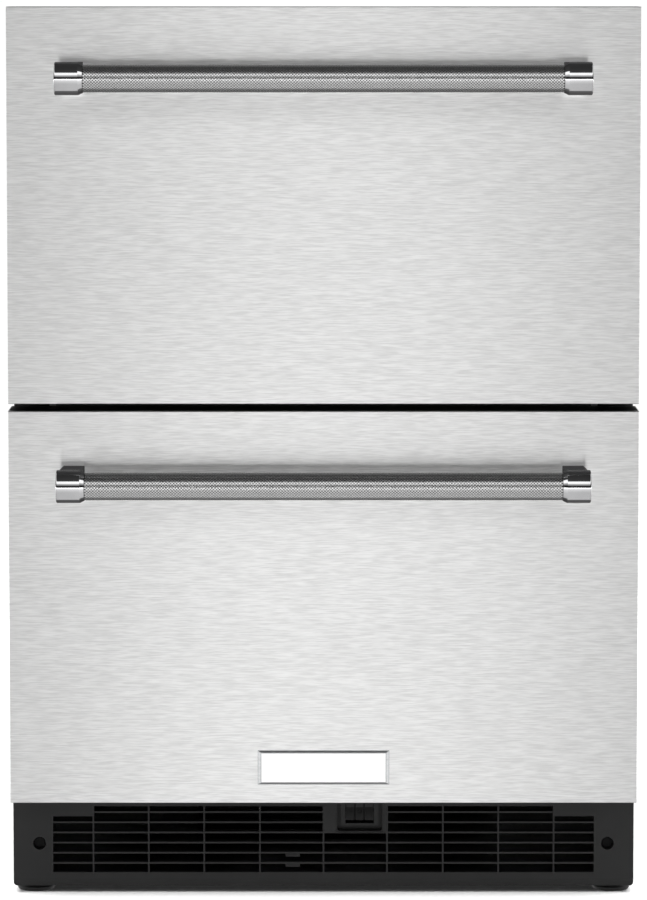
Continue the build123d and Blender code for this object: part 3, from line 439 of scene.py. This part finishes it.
# Near black: painted shade for the screws in the toe-kick's wells and for the crosses of screw heads, and
# the colour of the off mark.
SHADE_AND_MARK_BLACK = moulded("shade_and_mark_black", (0.003, 0.003, 0.003), 0.5, shine=0.15)
INK = moulded("white_ink", (0.62, 0.62, 0.62), 0.5)
PAINT = powder_coat("painted_sheet", (0.020, 0.020, 0.021))
ENAMEL = powder_coat("black_enamel", (0.012, 0.012, 0.012), 0.26)
ZINC = zinc_sheet()
FOAM = foam_plastic()
SEAL = soft_rubber("seal_rubber", (0.10, 0.10, 0.105))
RUBBER = soft_rubber("mount_rubber", (0.018, 0.018, 0.018))
COPPER = drawn_copper()
ALUMINIUM = mill_aluminium()
LENS = frosted_lens()
GLASS = display_glass()

FINISHES = {
    "front_skin": STEEL,
    "front_end_caps": CAP_BLACK,
    "front_foam": FOAM,
    "front_inner_panel": WHITE,
    "handle_posts": CHROME,
    "bin": BIN,
    "inner_rails": ZINC,
    "middle_rails": ZINC,
    "outer_rails": ZINC,
    "outer_wrapper": PAINT,
    "back_panel": ZINC,
    "cabinet_foam": FOAM,
    "inner_liner": WHITE,
    # Black, partly the deck's own paint and partly painted shade behind the toe-kick's slots.
    "machine_deck": PAINT,
    "mullion": GREY,
    "counter_brackets": ZINC,
    # Black, partly the frame's own paint and partly painted shade for the dark seen through the toe-kick's
    # slots.
    "base_frame": PAINT,
    "toe_kick_grille": BLACK,
    # The toe-kick screws are near black: painted shade in their wells.
    "toe_kick_screws": SHADE_AND_MARK_BLACK,
    "switch_housing": SWITCH_BLACK,
    "rocker": SWITCH_BLACK,
    "compressor": ENAMEL,
    "compressor_mounts": RUBBER,
    "terminal_cover": BLACK,
    "condenser_coil": ENAMEL,
    "condenser_fan_shroud": ZINC,
    "condenser_fan_motor": ZINC,
    "condenser_fan_rotor": BLACK,
    "filter_drier": COPPER,
    "refrigerant_pipes": COPPER,
    # Black, partly the tray's own colour and partly painted shade behind the toe-kick's slots.
    "drip_tray": BLACK,
    "machine_cover": ZINC,
    "cord_gland": BLACK,
    "evaporator_coil": ALUMINIUM,
    "evaporator_cover": WHITE,
    "evaporator_fan_motor": BLACK,
    "evaporator_fan_rotor": BLACK,
    "control_panel": GREY,
    "power_button": SWITCH_BLACK,
    "colder_button": SWITCH_BLACK,
    "warmer_button": SWITCH_BLACK,
    "lamp_lens": LENS,
}
EDGES = {
    "front_end_caps": 0.5,
    "toe_kick_grille": 0.25,
    "switch_housing": 0.4,
    "rocker": 0.5,
    "outer_wrapper": 0.6,
    "machine_cover": 0.3,
    "counter_brackets": 0.4,
    "bin": 0.8,
    "mullion": 0.4,
    "control_panel": 0.6,
    "inner_rails": 0.2,
    "middle_rails": 0.2,
    "outer_rails": 0.2,
}


def finish_cad_nodes():
    """Gives every CAD node its material, and rounds the hard edges that show."""
    for name, node in NODES.items():
        part = name.removeprefix("upper_").removeprefix("lower_")
        node.data.materials.clear()
        node.data.materials.append(FINISHES.get(part, BLACK))
        if part in EDGES:
            bevelled(node, EDGES[part] * MM)


# ================================================================ handles
KNURL_PITCH = 2.9 * MM
KNURL_COUNT = 28
KNURL_DEPTH = 0.3 * MM
KNURL_CREST = 0.8  # of a diamond's width
FERRULE_LENGTH = 26.5 * MM


def knurled_grip(name, drawer):
    """The grip's surface: flat-topped diamonds between two families of helical grooves."""
    low, high = corners(drawer + "_handle_bar")
    bar = (low + high) / 2
    radius = (high.z - low.z) / 2
    reach = corners(drawer + "_handle_posts")[1].x - FERRULE_LENGTH
    along = 2 * round(2 * reach / KNURL_PITCH)
    around = 2 * KNURL_COUNT

    def on_bar(i, j, r):
        angle = TURN * j / around
        x = -reach + 2 * reach * i / along
        return (x, bar.y + r * math.cos(angle), bar.z + r * math.sin(angle))

    points = []
    groove = {}
    for i in range(along + 1):
        for j in range(i % 2, around, 2):
            groove[i, j] = len(points)
            points.append(on_bar(i, j, radius - KNURL_DEPTH))
    faces = []
    flanks = []
    for i in range(along + 1):
        for j in range(1 - i % 2, around, 2):
            sides = [(i - 1, j), (i, (j + 1) % around), (i + 1, j), (i, (j - 1) % around)]
            foot = [groove[key] for key in sides if key in groove]
            if len(foot) < 4:
                faces.append(tuple(foot))
                flanks.append(True)
                continue
            crest = len(points)
            for step_i, step_j in ((-1, 0), (0, 1), (1, 0), (0, -1)):
                points.append(on_bar(i + KNURL_CREST * step_i, j + KNURL_CREST * step_j, radius))
            faces.append(tuple(crest + k for k in range(4)))
            flanks.append(False)
            for k in range(4):
                m = (k + 1) % 4
                faces.append((foot[k], foot[m], crest + m, crest + k))
                flanks.append(True)
    for i in (0, along):
        faces.append(tuple(groove[i, j] for j in range(i % 2, around, 2)))
        flanks.append(True)
    mesh = mesh_from(name, points, faces, smooth=False)
    grip = piece(name, mesh, drawer + "_drawer", GRIP, [drawer + "_handle_bar"])
    # The flanks take the darker copy: painted shade.
    mesh.materials.append(KNURL_FLANK_SHADE)
    mesh.polygons.foreach_set("material_index", [int(is_flank) for is_flank in flanks])
    return grip


# ================================================================ badge
BADGE_SIDE_BEVEL = 2.7 * MM
BADGE_END_BEVEL = 1.9 * MM
BADGE_RIM = 0.5 * MM
BADGE_LIP = 0.25 * MM
BADGE_GROOVE = 0.5 * MM


def badge():
    """A raised plate: a bevelled frame on a rim painted dark grey as a shadow line, and a bright, blank face
    inside a fine groove painted grey as shade.
    """
    low, high = corners("badge")
    back, front = high.y, low.y
    lip_x, lip_z = BADGE_SIDE_BEVEL + BADGE_LIP, BADGE_END_BEVEL + BADGE_LIP
    rings = [  # inset from the sides, inset from the ends, depth, and the finish that leads to the next ring
        # The outer wall and the rim are grey: a painted shadow line round the badge's foot.
        (0.0, 0.0, back, GREY),
        (0.0, 0.0, back - 0.4 * MM, GREY),
        (BADGE_RIM, BADGE_RIM, back - 0.4 * MM, ALUMINIUM),
        (BADGE_SIDE_BEVEL, BADGE_END_BEVEL, front, ALUMINIUM),
        # The groove's walls and floor are grey: painted shade in the groove.
        (lip_x, lip_z, front, GREY),
        (lip_x, lip_z, front + BADGE_GROOVE, GREY),
        (lip_x + BADGE_GROOVE, lip_z + BADGE_GROOVE, front + BADGE_GROOVE, GREY),
        (lip_x + BADGE_GROOVE, lip_z + BADGE_GROOVE, front + 0.1 * MM, PLATE),
    ]
    points = []
    faces = [(3, 2, 1, 0)]
    finishes = [GREY]
    for side, end, y, _ in rings:
        x0, x1, z0, z1 = low.x + side, high.x - side, low.z + end, high.z - end
        points += [(x0, y, z0), (x1, y, z0), (x1, y, z1), (x0, y, z1)]
    for ring in range(len(rings) - 1):
        for k in range(4):
            m = (k + 1) % 4
            faces.append((4 * ring + k, 4 * ring + m, 4 * ring + 4 + m, 4 * ring + 4 + k))
            finishes.append(rings[ring][3])
    faces.append(tuple(4 * (len(rings) - 1) + k for k in range(4)))
    finishes.append(PLATE)
    mesh = mesh_from("badge_frame", points, faces, smooth=False)
    plate = piece("badge_frame", mesh, "lower_drawer", ALUMINIUM, ["badge"])
    order = [ALUMINIUM, PLATE, GREY]
    for material in order[1:]:
        mesh.materials.append(material)
    mesh.polygons.foreach_set("material_index", [order.index(finish) for finish in finishes])
    return plate


# ================================================================ switch marks
def flat_ring(name, centre, normal, radius, width, thickness, steps=40):
    """A thin ring that stands a little proud of the surface at centre."""
    points = []
    faces = []
    side = Vector((1, 0, 0))
    up = normal.cross(side).normalized()
    for step in range(steps):
        angle = TURN * step / steps
        out = side * math.cos(angle) + up * math.sin(angle)
        for r, lift in ((radius - width, 0), (radius, 0), (radius, thickness), (radius - width, thickness)):
            points.append(centre + out * r + normal * lift)
    for step in range(steps):
        after = (step + 1) % steps
        for k in range(4):
            m = (k + 1) % 4
            faces.append((step * 4 + k, step * 4 + m, after * 4 + m, after * 4 + k))
    mesh = mesh_from(name, points, faces)
    sharpen(mesh)
    return mesh


def switch_mark():
    """The round off mark on the rocker."""
    low, high = corners("rocker")
    centre = Vector(((low.x + high.x) / 2, low.y + 1.55 * MM, low.z + 8.2 * MM))
    mesh = flat_ring("off_mark", centre, FRONTWARD, 2.1 * MM, 0.55 * MM, 0.15 * MM)
    return piece("off_mark", mesh, "power_switch", SHADE_AND_MARK_BLACK)


# ================================================================ feet
THREAD_PITCH = 1.5 * MM
THREAD_DEPTH = 0.55 * MM


def threaded_stem(name, radius, low, high, steps=28, rows_per_turn=8):
    """A stem with a true helical thread."""
    rows = int((high - low) / THREAD_PITCH * rows_per_turn)
    points = []
    faces = []
    for row in range(rows + 1):
        z = low + (high - low) * row / rows
        for step in range(steps):
            turn = (z / THREAD_PITCH - step / steps) % 1.0
            r = radius - THREAD_DEPTH * abs(2 * turn - 1)
            angle = TURN * step / steps
            points.append((r * math.cos(angle), r * math.sin(angle), z))
    for row in range(rows):
        for step in range(steps):
            after = (step + 1) % steps
            faces.append((row * steps + step, row * steps + after, (row + 1) * steps + after,
                          (row + 1) * steps + step))
    faces.append(tuple(range(steps)))
    faces.append(tuple(rows * steps + step for step in range(steps)))
    return mesh_from(name, points, faces)


def hexagon(name, across, low, high):
    """A nut with chamfered corners, turned about Z."""
    radius = across / math.sqrt(3)
    chamfer = 0.1 * (high - low)
    rows = [(radius * 0.93, low), (radius, low + chamfer), (radius, high - chamfer), (radius * 0.93, high)]
    points = [(r * math.cos(k * TURN / 6), r * math.sin(k * TURN / 6), z) for r, z in rows for k in range(6)]
    faces = [tuple(range(6)), tuple(18 + k for k in range(6))]
    for row in range(3):
        for k in range(6):
            m = (k + 1) % 6
            faces.append((6 * row + k, 6 * row + m, 6 * row + 6 + m, 6 * row + 6 + k))
    return mesh_from(name, points, faces, smooth=False)


def levelling_foot(node):
    """Moulded disc, hexagon and threaded stem."""
    low, high = corners(node)
    centre = (low + high) / 2
    radius = (high.x - low.x) / 2
    profile = [
        (0, 0.0), (radius - 2.4 * MM, 0.0), (radius - 0.9 * MM, 0.4 * MM), (radius, 1.8 * MM),
        (radius, 3.6 * MM), (radius - 1.2 * MM, 5.2 * MM), (radius - 6 * MM, 6.0 * MM), (0, 6.0 * MM),
    ]
    parts = [
        (lathe("foot_disc", profile), Matrix()),
        (hexagon("foot_hexagon", 13.8 * MM, 5.9 * MM, 9.0 * MM), Matrix()),
        (threaded_stem("foot_stem", 4.95 * MM, 8.9 * MM, high.z), Matrix()),
    ]
    mesh = joined(node + "_piece", parts)
    mesh.transform(Matrix.Translation((centre.x, centre.y, 0)))
    return piece(node + "_piece", mesh, node, BLACK, [node])


# ================================================================ seals
SEAL_PROFILE = [  # outwards from the middle line, and forwards from the cabinet's face, in mm
    (-6.2, 0.0), (6.2, 0.0), (6.9, -0.8), (6.9, -2.6), (5.4, -3.4), (6.6, -4.6), (5.6, -6.0), (6.6, -7.4),
    (5.4, -8.4), (6.0, -10.0), (-6.0, -10.0), (-5.4, -8.4), (-6.6, -7.4), (-5.6, -6.0), (-6.6, -4.6),
    (-5.4, -3.4), (-6.9, -2.6), (-6.9, -0.8),
]


def door_seal(drawer):
    """Bellows-sided magnetic seal round a drawer front."""
    low, high = corners(drawer + "_gasket")
    centre = Vector(((low.x + high.x) / 2, high.y, (low.z + high.z) / 2))
    half = 7.0 * MM
    profile = [(o * MM, d * MM) for o, d in SEAL_PROFILE]
    name = drawer + "_seal"
    mesh = swept_ring(
        name, (high.x - low.x) / 2 - half, (high.z - low.z) / 2 - half, 5.0 * MM, profile, centre
    )
    return piece(name, mesh, drawer + "_drawer", SEAL, [drawer + "_gasket"])


# ================================================================ screws
def screw(radius):
    """A domed head that faces +Z from z=0, with a near-black cross on it: painted shade of a cross recess.
    """
    head = lathe("head", [
        (0, -0.2 * radius), (radius, -0.2 * radius), (radius, 0.12 * radius), (0.86 * radius, 0.42 * radius),
        (0.5 * radius, 0.58 * radius), (0, 0.6 * radius),
    ], 24)
    arm = Vector((0.55 * radius, 0.11 * radius, 0.61 * radius))
    bar = rounded_box("cross", (-arm.x, -arm.y, 0.5 * radius), arm, 0.02 * radius, 1)
    bar.polygons.foreach_set("material_index", [1] * len(bar.polygons))
    return [(head, Matrix()), (bar, Matrix()), (bar, Matrix.Rotation(TURN / 4, 4, "Z"))]


def screws(name, places, normal, radius, body):
    """One piece made of several screws; each place is in mm."""
    turn = Vector((0, 0, 1)).rotation_difference(Vector(normal)).to_matrix().to_4x4()
    parts = []
    for index, place in enumerate(places):
        at = Matrix.Translation(Vector(place) * MM) @ turn @ Matrix.Rotation(0.7 * index, 4, "Z")
        parts += [(mesh, at @ own) for mesh, own in screw(radius * MM)]
    made = piece(name, joined(name, parts), body, ZINC)
    # The crosses take the near-black: painted shade of their recesses.
    made.data.materials.append(SHADE_AND_MARK_BLACK)
    return made


def mirrored_places(places):
    return [(side * x, y, z) for x, y, z in places for side in (1, -1)]


def all_screws():
    back = corners("back_panel")[1].y / MM
    edge = corners("back_panel")[1].x / MM - 9
    top = corners("back_panel")[1].z / MM - 9
    heights = (230, 430, 640, top)
    screws("back_screws", mirrored_places([(edge, back, z) for z in heights]), (0, 1, 0), 3.4, "cabinet")
    cover = corners("machine_cover")[1].y / MM
    screws(
        "cover_screws", mirrored_places([(287, cover, z) for z in (24, 112, 200)]), (0, 1, 0), 3.4, "cabinet"
    )
    low, high = corners("evaporator_cover")
    places = [(high.x / MM - 12, low.y / MM, z / MM) for z in (low.z + 12 * MM, high.z - 12 * MM)]
    screws("duct_screws", mirrored_places(places), (0, -1, 0), 3.0, "cabinet")
    strip = corners("counter_brackets")
    places = [(240 + x, strip[1].y / MM - 14, strip[1].z / MM - 0.5) for x in (-11, 11)]
    screws("bracket_screws", mirrored_places(places), (0, 0, 1), 2.0, "cabinet")
    for drawer in ("upper", "lower"):
        rails = corners(drawer + "_inner_rails")
        tab_y = rails[0].y / MM + 1.5
        middle_z = (rails[0].z / MM + 26)
        places = [(243, tab_y, middle_z + z) for z in (-20, 22)]
        screws(drawer + "_tab_screws", mirrored_places(places), (0, 1, 0), 3.0, drawer + "_drawer")


# ================================================================ back
def prism(name, outline, low_x, high_x):
    """A closed outline of (y, z) points, extruded along X."""
    count = len(outline)
    points = [(x, y, z) for x in (low_x, high_x) for y, z in outline]
    faces = [tuple(range(count)), tuple(range(count, 2 * count))]
    for k in range(count):
        m = (k + 1) % count
        faces.append((k, m, count + m, count + k))
    return mesh_from(name, points, faces, smooth=False)


LOUVRE_COLUMNS = (-190, 0, 190)
LOUVRE_ROWS = 9
LOUVRE_LOW = 70
LOUVRE_PITCH = 14
LOUVRE_HALF_WIDTH = 76
LOUVRE_SLOT = 5
# outlines of a hood and of its ends, as (out, up) in mm
LOUVRE_HOOD = [(0, 1.8), (2.9, -1.6), (2.9, -3.4), (2.1, -3.4), (2.1, -2.0), (-0.2, 0.4)]
LOUVRE_END = [(0, 1.8), (2.9, -1.6), (2.9, -3.4), (0, -5.4)]
LOUVRE_END_T = 1.2


def louvre_hoods():
    """A pressed hood over each slot of the machine cover."""
    face = corners("machine_cover")[1].y / MM
    parts = []
    for x in LOUVRE_COLUMNS:
        for row in range(LOUVRE_ROWS):
            z = LOUVRE_LOW + row * LOUVRE_PITCH + LOUVRE_SLOT
            low, high = x - LOUVRE_HALF_WIDTH, x + LOUVRE_HALF_WIDTH
            for outline, start, end in (
                (LOUVRE_HOOD, low, high),
                (LOUVRE_END, low - LOUVRE_END_T, low),
                (LOUVRE_END, high, high + LOUVRE_END_T),
            ):
                sheet = [((face + out) * MM, (z + up) * MM) for out, up in outline]
                parts.append((prism("hood", sheet, start * MM, end * MM), Matrix()))
    return piece("louvre_hoods", joined("louvre_hoods", parts), "cabinet", ZINC)


PRESSING_PROFILE = [(0, -0.3), (0.4, 0.3), (6, 2.3), (7, 2.6)]  # (inset, rise) from the edge to the flat top
PRESSING_CORNER_R = 18
PRESSINGS = [(-285, -10, 246, 440), (10, 285, 246, 440), (-285, -10, 462, 838), (10, 285, 462, 838)]


def back_pressings():
    """Shallow stiffening panels pressed into the back."""
    face = corners("back_panel")[1].y / MM
    parts = []
    for x0, x1, z0, z1 in PRESSINGS:
        points = []
        half_x, half_z = (x1 - x0) / 2, (z1 - z0) / 2
        for inset, rise in PRESSING_PROFILE:
            outline = rounded_outline(half_x - inset, half_z - inset, PRESSING_CORNER_R - inset)
            points.append([((x0 + x1) / 2 + x, face + rise, (z0 + z1) / 2 + z) for x, z in outline])
        count = len(points[0])
        rings = len(PRESSING_PROFILE) - 1
        faces = [tuple(range(count)), tuple(rings * count + k for k in range(count))]
        for ring in range(rings):
            near, far = ring * count, (ring + 1) * count
            for k in range(count):
                m = (k + 1) % count
                faces.append((near + k, near + m, far + m, far + k))
        flat = [Vector(p) * MM for ring in points for p in ring]
        parts.append((mesh_from("pressing", flat, faces), Matrix()))
    mesh = joined("back_pressings", parts, 25)
    return piece("back_pressings", mesh, "cabinet", ZINC)


# ================================================================ controls
MARK_T = 0.15 * MM
MARK_ARM = 2.6 * MM
MARK_WIDTH = 0.45 * MM
MARK_SUNK = 0.3 * MM  # how far a mark goes into its button
MARK_EDGE = 0.05 * MM
WINDOW_HALF_X = 25.6 * MM
WINDOW_HALF_Z = 6.6 * MM
WINDOW_FRONT = 0.35 * MM  # behind the panel's face
WINDOW_BACK = 1.3 * MM
WINDOW_EDGE = 0.3 * MM


def control_marks():
    """Raised marks on the buttons and the dark window of the display."""
    for name in ("colder_button", "warmer_button", "power_button"):
        low, high = corners(name)
        centre = Vector(((low.x + high.x) / 2, low.y, (low.z + high.z) / 2))
        reach = Vector((MARK_ARM, MARK_T, MARK_WIDTH))
        back = centre + Vector((MARK_ARM, MARK_SUNK, MARK_WIDTH))
        flat = rounded_box("mark", centre - reach, back, MARK_EDGE, 1)
        parts = [(flat, Matrix())]
        if name == "warmer_button":
            to_centre = Matrix.Translation(centre)
            parts.append((flat, to_centre @ Matrix.Rotation(TURN / 4, 4, "Y") @ to_centre.inverted()))
        if name == "power_button":
            ring = flat_ring("ring", centre, FRONTWARD, MARK_ARM, 2 * MARK_WIDTH, MARK_T)
            parts = [(ring, Matrix())]
        piece(name + "_mark", joined(name + "_mark", parts), name, INK)
    low, high = corners("control_panel")
    mid_z = (low.z + high.z) / 2
    window = rounded_box(
        "display_window", (-WINDOW_HALF_X, low.y + WINDOW_FRONT, mid_z - WINDOW_HALF_Z),
        (WINDOW_HALF_X, low.y + WINDOW_BACK, mid_z + WINDOW_HALF_Z), WINDOW_EDGE,
    )
    return piece("display_window", window, "cabinet", GLASS)


# ================================================================ stage, light and camera
def plain(name, colour, roughness=0.9):
    m = Nodes(name)
    m.set(Base_Color=(*colour, 1), Roughness=roughness, Specular_IOR_Level=0.0)
    return m.material


FLOOR_RADIUS = 2.6


def floor():
    """A pale round floor. Polished parts mirror the studio's surroundings in its place."""
    steps = 96
    rim = [(FLOOR_RADIUS * math.cos(TURN * k / steps), FLOOR_RADIUS * math.sin(TURN * k / steps), 0)
           for k in range(steps)]
    mesh = mesh_from("floor", rim, [tuple(range(steps))])
    ground = bpy.data.objects.new("floor", mesh)
    bpy.context.scene.collection.objects.link(ground)
    mesh.materials.append(plain("floor_white", (0.86, 0.86, 0.86)))
    ground.visible_glossy = False
    return ground


SKY = [  # (upward part of the direction, brightness) of the studio's surroundings
    (-1.00, 0.46), (-0.60, 0.46), (-0.42, 0.55), (-0.30, 0.62), (-0.14, 0.92),
    (-0.06, 2.50), (-0.045, 0.01), (0.16, 0.01), (0.20, 0.12), (0.28, 0.26),
    (0.40, 0.56), (0.46, 1.00), (0.64, 1.00), (0.68, 0.04), (1.00, 0.025),
]
SIDES = [  # the same, from the middle out
    (0.0, 1.14), (0.03, 1.01), (0.065, 0.70), (0.11, 0.40), (0.25, 0.28), (0.4, 0.5), (0.6, 0.8), (1.0, 0.8),
]
SKY_STRENGTH = 1.9
BACKDROP_STRENGTH = 1.05  # of the plain white that the camera sees


def ramp(tree, value, stops, smooth="LINEAR"):
    """A grey value read from a list of (position, level) stops."""
    bands = tree.nodes.new("ShaderNodeValToRGB")
    bands.color_ramp.interpolation = smooth
    elements = bands.color_ramp.elements
    while len(elements) > 1:
        elements.remove(elements[-1])
    for index, (position, level) in enumerate(stops):
        stop = elements[0] if index == 0 else elements.new(position)
        stop.position = position
        stop.color = (level, level, level, 1)
    tree.links.new(value, bands.inputs["Fac"])
    return bands.outputs["Color"]


def studio_world():
    """Surroundings in bands: a dark horizon, a bright band above it that fades sideways, a dim ceiling."""
    world = bpy.data.worlds.new("studio")
    bpy.context.scene.world = world
    world.use_nodes = True
    tree = world.node_tree
    tree.nodes.clear()
    place = tree.nodes.new("ShaderNodeTexCoord")
    split = tree.nodes.new("ShaderNodeSeparateXYZ")
    tree.links.new(place.outputs["Generated"], split.inputs[0])
    height = tree.nodes.new("ShaderNodeMapRange")
    height.inputs["From Min"].default_value = -1
    tree.links.new(split.outputs["Z"], height.inputs["Value"])
    aside = tree.nodes.new("ShaderNodeMath")
    aside.operation = "ABSOLUTE"
    tree.links.new(split.outputs["X"], aside.inputs[0])
    bands = ramp(tree, height.outputs["Result"], [((level + 1) / 2, value) for level, value in SKY])
    sides = ramp(tree, aside.outputs[0], SIDES, "B_SPLINE")
    product = tree.nodes.new("ShaderNodeMix")
    product.data_type = "RGBA"
    product.blend_type = "MULTIPLY"
    product.inputs["Factor"].default_value = 1
    tree.links.new(bands, product.inputs["A"])
    tree.links.new(sides, product.inputs["B"])
    lit = tree.nodes.new("ShaderNodeBackground")
    lit.inputs["Strength"].default_value = SKY_STRENGTH
    tree.links.new(product.outputs["Result"], lit.inputs["Color"])
    seen = tree.nodes.new("ShaderNodeBackground")
    seen.inputs["Color"].default_value = (1, 1, 1, 1)
    seen.inputs["Strength"].default_value = BACKDROP_STRENGTH
    path = tree.nodes.new("ShaderNodeLightPath")
    choose = tree.nodes.new("ShaderNodeMixShader")
    tree.links.new(path.outputs["Is Camera Ray"], choose.inputs["Fac"])
    tree.links.new(lit.outputs[0], choose.inputs[1])
    tree.links.new(seen.outputs[0], choose.inputs[2])
    output = tree.nodes.new("ShaderNodeOutputWorld")
    tree.links.new(choose.outputs[0], output.inputs["Surface"])


LAMP_PLACE = (0.0, -0.6, 3.0)
LAMP_TARGET = (0.0, -0.6, 0.0)
LAMP_SIDE = 4.0
OVERHEAD_POWER = 120
FLOOR_WASH_POWER = 270
UNDER_WASH_POWER = 40


def soft_light(name, power):
    """A wide lamp overhead, out of sight of the camera and of polished parts."""
    lamp = bpy.data.lights.new(name, "AREA")
    lamp.shape = "RECTANGLE"
    lamp.size = LAMP_SIDE
    lamp.size_y = LAMP_SIDE
    lamp.energy = power
    holder = bpy.data.objects.new(name, lamp)
    holder.location = LAMP_PLACE
    aim = Vector(LAMP_TARGET) - Vector(LAMP_PLACE)
    holder.rotation_euler = aim.to_track_quat("-Z", "Y").to_euler()
    holder.visible_camera = False
    holder.visible_glossy = False
    bpy.context.scene.collection.objects.link(holder)
    return holder


def light_only(lamp, target, shadows=True):
    """Makes a lamp light one object only, with or without the shadows that the others cast."""
    lit = bpy.data.collections.new(lamp.name + "_lights")
    lit.objects.link(target)
    lamp.light_linking.receiver_collection = lit
    if not shadows:
        lamp.light_linking.blocker_collection = lit


CAMERA_DISTANCE = 4.0  # from the drawer fronts
CAMERA_HEIGHT = 0.885
CAMERA_PITCH = 4.39
CAMERA_LENS = 167.5
CAMERA_SHIFT = -0.16


def camera():
    """A long lens a little above the object's top, with its frame shifted down onto the object."""
    lens = bpy.data.cameras.new("camera")
    lens.sensor_fit = "VERTICAL"
    lens.sensor_height = 36
    lens.lens = CAMERA_LENS
    lens.shift_y = CAMERA_SHIFT
    lens.clip_end = 100
    holder = bpy.data.objects.new("camera", lens)
    holder.location = (0, corners("upper_front_skin")[0].y - CAMERA_DISTANCE, CAMERA_HEIGHT)
    holder.rotation_euler = (math.radians(90 - CAMERA_PITCH), 0, 0)
    bpy.context.scene.collection.objects.link(holder)
    bpy.context.scene.camera = holder


def colour_management():
    settings = bpy.context.scene.view_settings
    settings.view_transform = "Standard"
    settings.look = "None"


# ================================================================ assembly
colour_management()
camera()
ground = floor()
studio_world()
soft_light("overhead", OVERHEAD_POWER)
wash = soft_light("floor_wash", FLOOR_WASH_POWER)
light_only(wash, ground)
under = soft_light("under_wash", UNDER_WASH_POWER)
light_only(under, ground, shadows=False)
finish_cad_nodes()
for drawer_name in ("upper", "lower"):
    knurled_grip(drawer_name + "_grip", drawer_name)
    door_seal(drawer_name)
badge()
switch_mark()
all_screws()
louvre_hoods()
back_pressings()
control_marks()
for foot_name in ("foot_front_left", "foot_front_right", "foot_rear_left", "foot_rear_right"):
    levelling_foot(foot_name)
